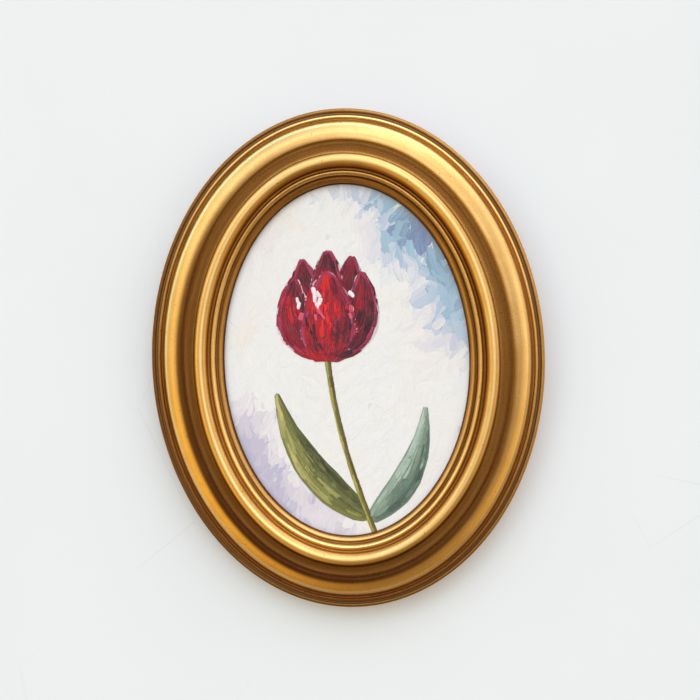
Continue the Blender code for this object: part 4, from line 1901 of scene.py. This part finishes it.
@dataclass
class Studio:
    """A pale wall and floor, soft lights and the camera."""

    oval: Oval
    wall_half: float = 3.0
    floor_drop: float = 1.3
    floor_size: float = 30.0
    wall_paint: Colour = (0.815, 0.848, 0.868)
    camera_azimuth: float = 5.57
    camera_elevation: float = 5.37
    camera_distance: float = 795.2 * MM
    camera_roll: float = 1.2
    camera_lens: float = 85.0
    aim: Point2 = (1.88 * MM, 5.36 * MM)
    aim_depth: float = 10.0 * MM
    floor_paint: Colour = (0.7, 0.7, 0.7)
    dim: Colour = (0.06, 0.06, 0.06)
    surround: Colour = (0.85, 0.86, 0.86)

    def plaster(self, name: str, colour: Colour) -> Recipe:
        """Matt paint, rolled on smooth plaster, with a few hairline scratches.

        Args:
            name: The material's name.
            colour: The paint.

        Returns:
            The material in the making.
        """
        recipe = Recipe(name)
        place = recipe.place()
        cloud = recipe.grain(place, 9, 3.0)
        rolled = recipe.grain(place, 700, 3.0)
        normal = recipe.bump(rolled, 0.03 * MM, 0.3)
        paint = recipe.mix(cloud.between(0.3, 0.7), colour, tuple(v * 0.985 for v in colour))
        hairline = recipe.cells(place, 9, "DISTANCE_TO_EDGE").between(0.0035, 0.0015)
        scratched = hairline * recipe.grain(place, 5, 2.0).between(0.56, 0.64)
        paint = recipe.mix(scratched * 0.6, paint, tuple(v * 0.9 for v in colour))
        recipe.set(Base_Color=paint, Roughness=0.8, Normal=normal)
        return recipe

    def build_wall(self) -> None:
        """A wall right behind the picture that only its room side shows."""
        Bench.clear_selection()
        upright = (math.radians(90), 0, 0)
        bpy.ops.mesh.primitive_plane_add(size=2 * self.wall_half, rotation=upright)
        wall = bpy.context.object
        wall.name = "wall"
        bpy.ops.object.transform_apply(rotation=True)
        recipe = self.plaster("wall_paint", self.wall_paint)
        back = recipe.node("ShaderNodeNewGeometry", output="Backfacing")
        clear = recipe.node("ShaderNodeBsdfTransparent")
        solid = Wire(recipe, recipe.shader.outputs[0])
        shown = recipe.node("ShaderNodeMixShader", None, {0: back, 1: solid, 2: clear})
        recipe.feed(recipe.tree.nodes["Material Output"].inputs[0], shown)
        wall.data.materials.append(recipe.material)
        wall.visible_shadow = False

    def build_floor(self) -> None:
        """A plain pale floor, well below the picture."""
        Bench.clear_selection()
        level = self.oval.centre_z - self.floor_drop
        bpy.ops.mesh.primitive_plane_add(size=self.floor_size, location=(0, 0, level))
        floor = bpy.context.object
        floor.name = "floor"
        floor.data.materials.append(self.plaster("floor_paint", self.floor_paint).material)
        floor.visible_glossy = False
        floor.visible_diffuse = False

    def build_world(self, room: Sequence[Glow]) -> None:
        """A pale surround for the camera, and a dim room whose soft glows light the picture.

        Args:
            room: The patches of light.
        """
        world = bpy.data.worlds.new("surround")
        bpy.context.scene.world = world
        world.use_nodes = True
        nodes = Nodes(world.node_tree)
        way = nodes.node("ShaderNodeTexCoord", output="Generated")
        light: Any = self.dim
        for glow in room:
            aim = bearing(glow.tilt, glow.around)
            facing = nodes.vector("DOT_PRODUCT", {0: way, 1: aim}, "Value")
            strength = tuple(part * glow.level for part in glow.colour)
            soft = facing.most(0.0) ** glow.sharpness
            patch = nodes.vector("SCALE", {0: strength, "Scale": soft})
            patch.socket.node.label = glow.name
            light = nodes.vector("ADD", {0: patch, 1: light})
        lit = nodes.tree.nodes["Background"]
        nodes.feed(lit.inputs["Color"], light)
        pale = nodes.node("ShaderNodeBackground", None, {"Color": self.surround})
        seen = nodes.node("ShaderNodeLightPath", output="Is Camera Ray")
        choice = {0: seen, 1: Wire(nodes, lit.outputs[0]), 2: pale}
        shown = nodes.node("ShaderNodeMixShader", None, choice)
        nodes.feed(nodes.tree.nodes["World Output"].inputs[0], shown)

    def build_camera(self) -> None:
        """A camera almost square to the picture, from a little above and to the right."""
        target = Vector((self.aim[0], -self.aim_depth, self.oval.centre_z + self.aim[1]))
        a, e = math.radians(self.camera_azimuth), math.radians(self.camera_elevation)
        back = Vector((math.sin(a) * math.cos(e), -math.cos(a) * math.cos(e), math.sin(e)))
        data = bpy.data.cameras.new("camera")
        data.lens = self.camera_lens
        camera = bpy.data.objects.new("camera", data)
        bpy.context.scene.collection.objects.link(camera)
        camera.location = target + back * self.camera_distance
        level = (-back).to_track_quat("-Z", "Y")
        camera.rotation_mode = "QUATERNION"
        camera.rotation_quaternion = level @ Quaternion((0, 0, 1), math.radians(-self.camera_roll))
        bpy.context.scene.camera = camera

    def build(self, lamps: Sequence[Softbox], room: Sequence[Glow]) -> None:
        """Set the whole stage.

        Args:
            lamps: The lamps behind the wall, for views of the back.
            room: The soft light in front.
        """
        self.build_wall()
        self.build_floor()
        self.build_world(room)
        self.build_camera()
        target = Vector((0, 0, self.oval.centre_z))
        for lamp in lamps:
            lamp.build(target)
        bpy.context.scene.view_settings.view_transform = "Standard"


# --------------------------------------------------------------------------------------------
# All together
# --------------------------------------------------------------------------------------------


def report(pieces: Iterable[bpy.types.Object]) -> None:
    """Log each piece with its triangle count.

    Args:
        pieces: The pieces of one sub-assembly.
    """
    for piece in pieces:
        piece.data.calc_loop_triangles()
        LOG.info("%s: %d triangles", piece.name, len(piece.data.loop_triangles))


def main() -> None:
    """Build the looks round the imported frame."""
    logging.basicConfig(level=logging.INFO, format="%(name)s: %(message)s")
    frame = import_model()
    oval = Oval.from_frame()
    Studio(oval).build(LAMPS, ROOM)
    report([Moulding(oval).build(AntiqueGold().material(), BareWood().material())])
    report(Boards(oval).build(Canvas().material(), PulpBoard().material()))
    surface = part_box("painted_panel")[0].y
    thin = OilPaint(
        "thin_oil_paint",
        oval,
        roughness=0.5,
        furrow=0.022 * MM,
        shadow=(0.93, 0.93, 0.94),
        light=0.12,
    )
    thick = OilPaint("oil_paint", oval)
    report(Painting(oval, surface).build(thin.material(), thick.material()))
    brass = Metal.BRASSED_STEEL.material("brassed_steel")
    hardware = Hardware()
    report([hardware.build_hanger(brass)])
    report(hardware.build_nails(brass))
    hardware.dress_points(frame["nodes"], Metal.BLUED_SPRING.material("blued_steel"))
    report(hardware.build_bumpers(Felt().material()))


if __name__ == "__main__":
    main()
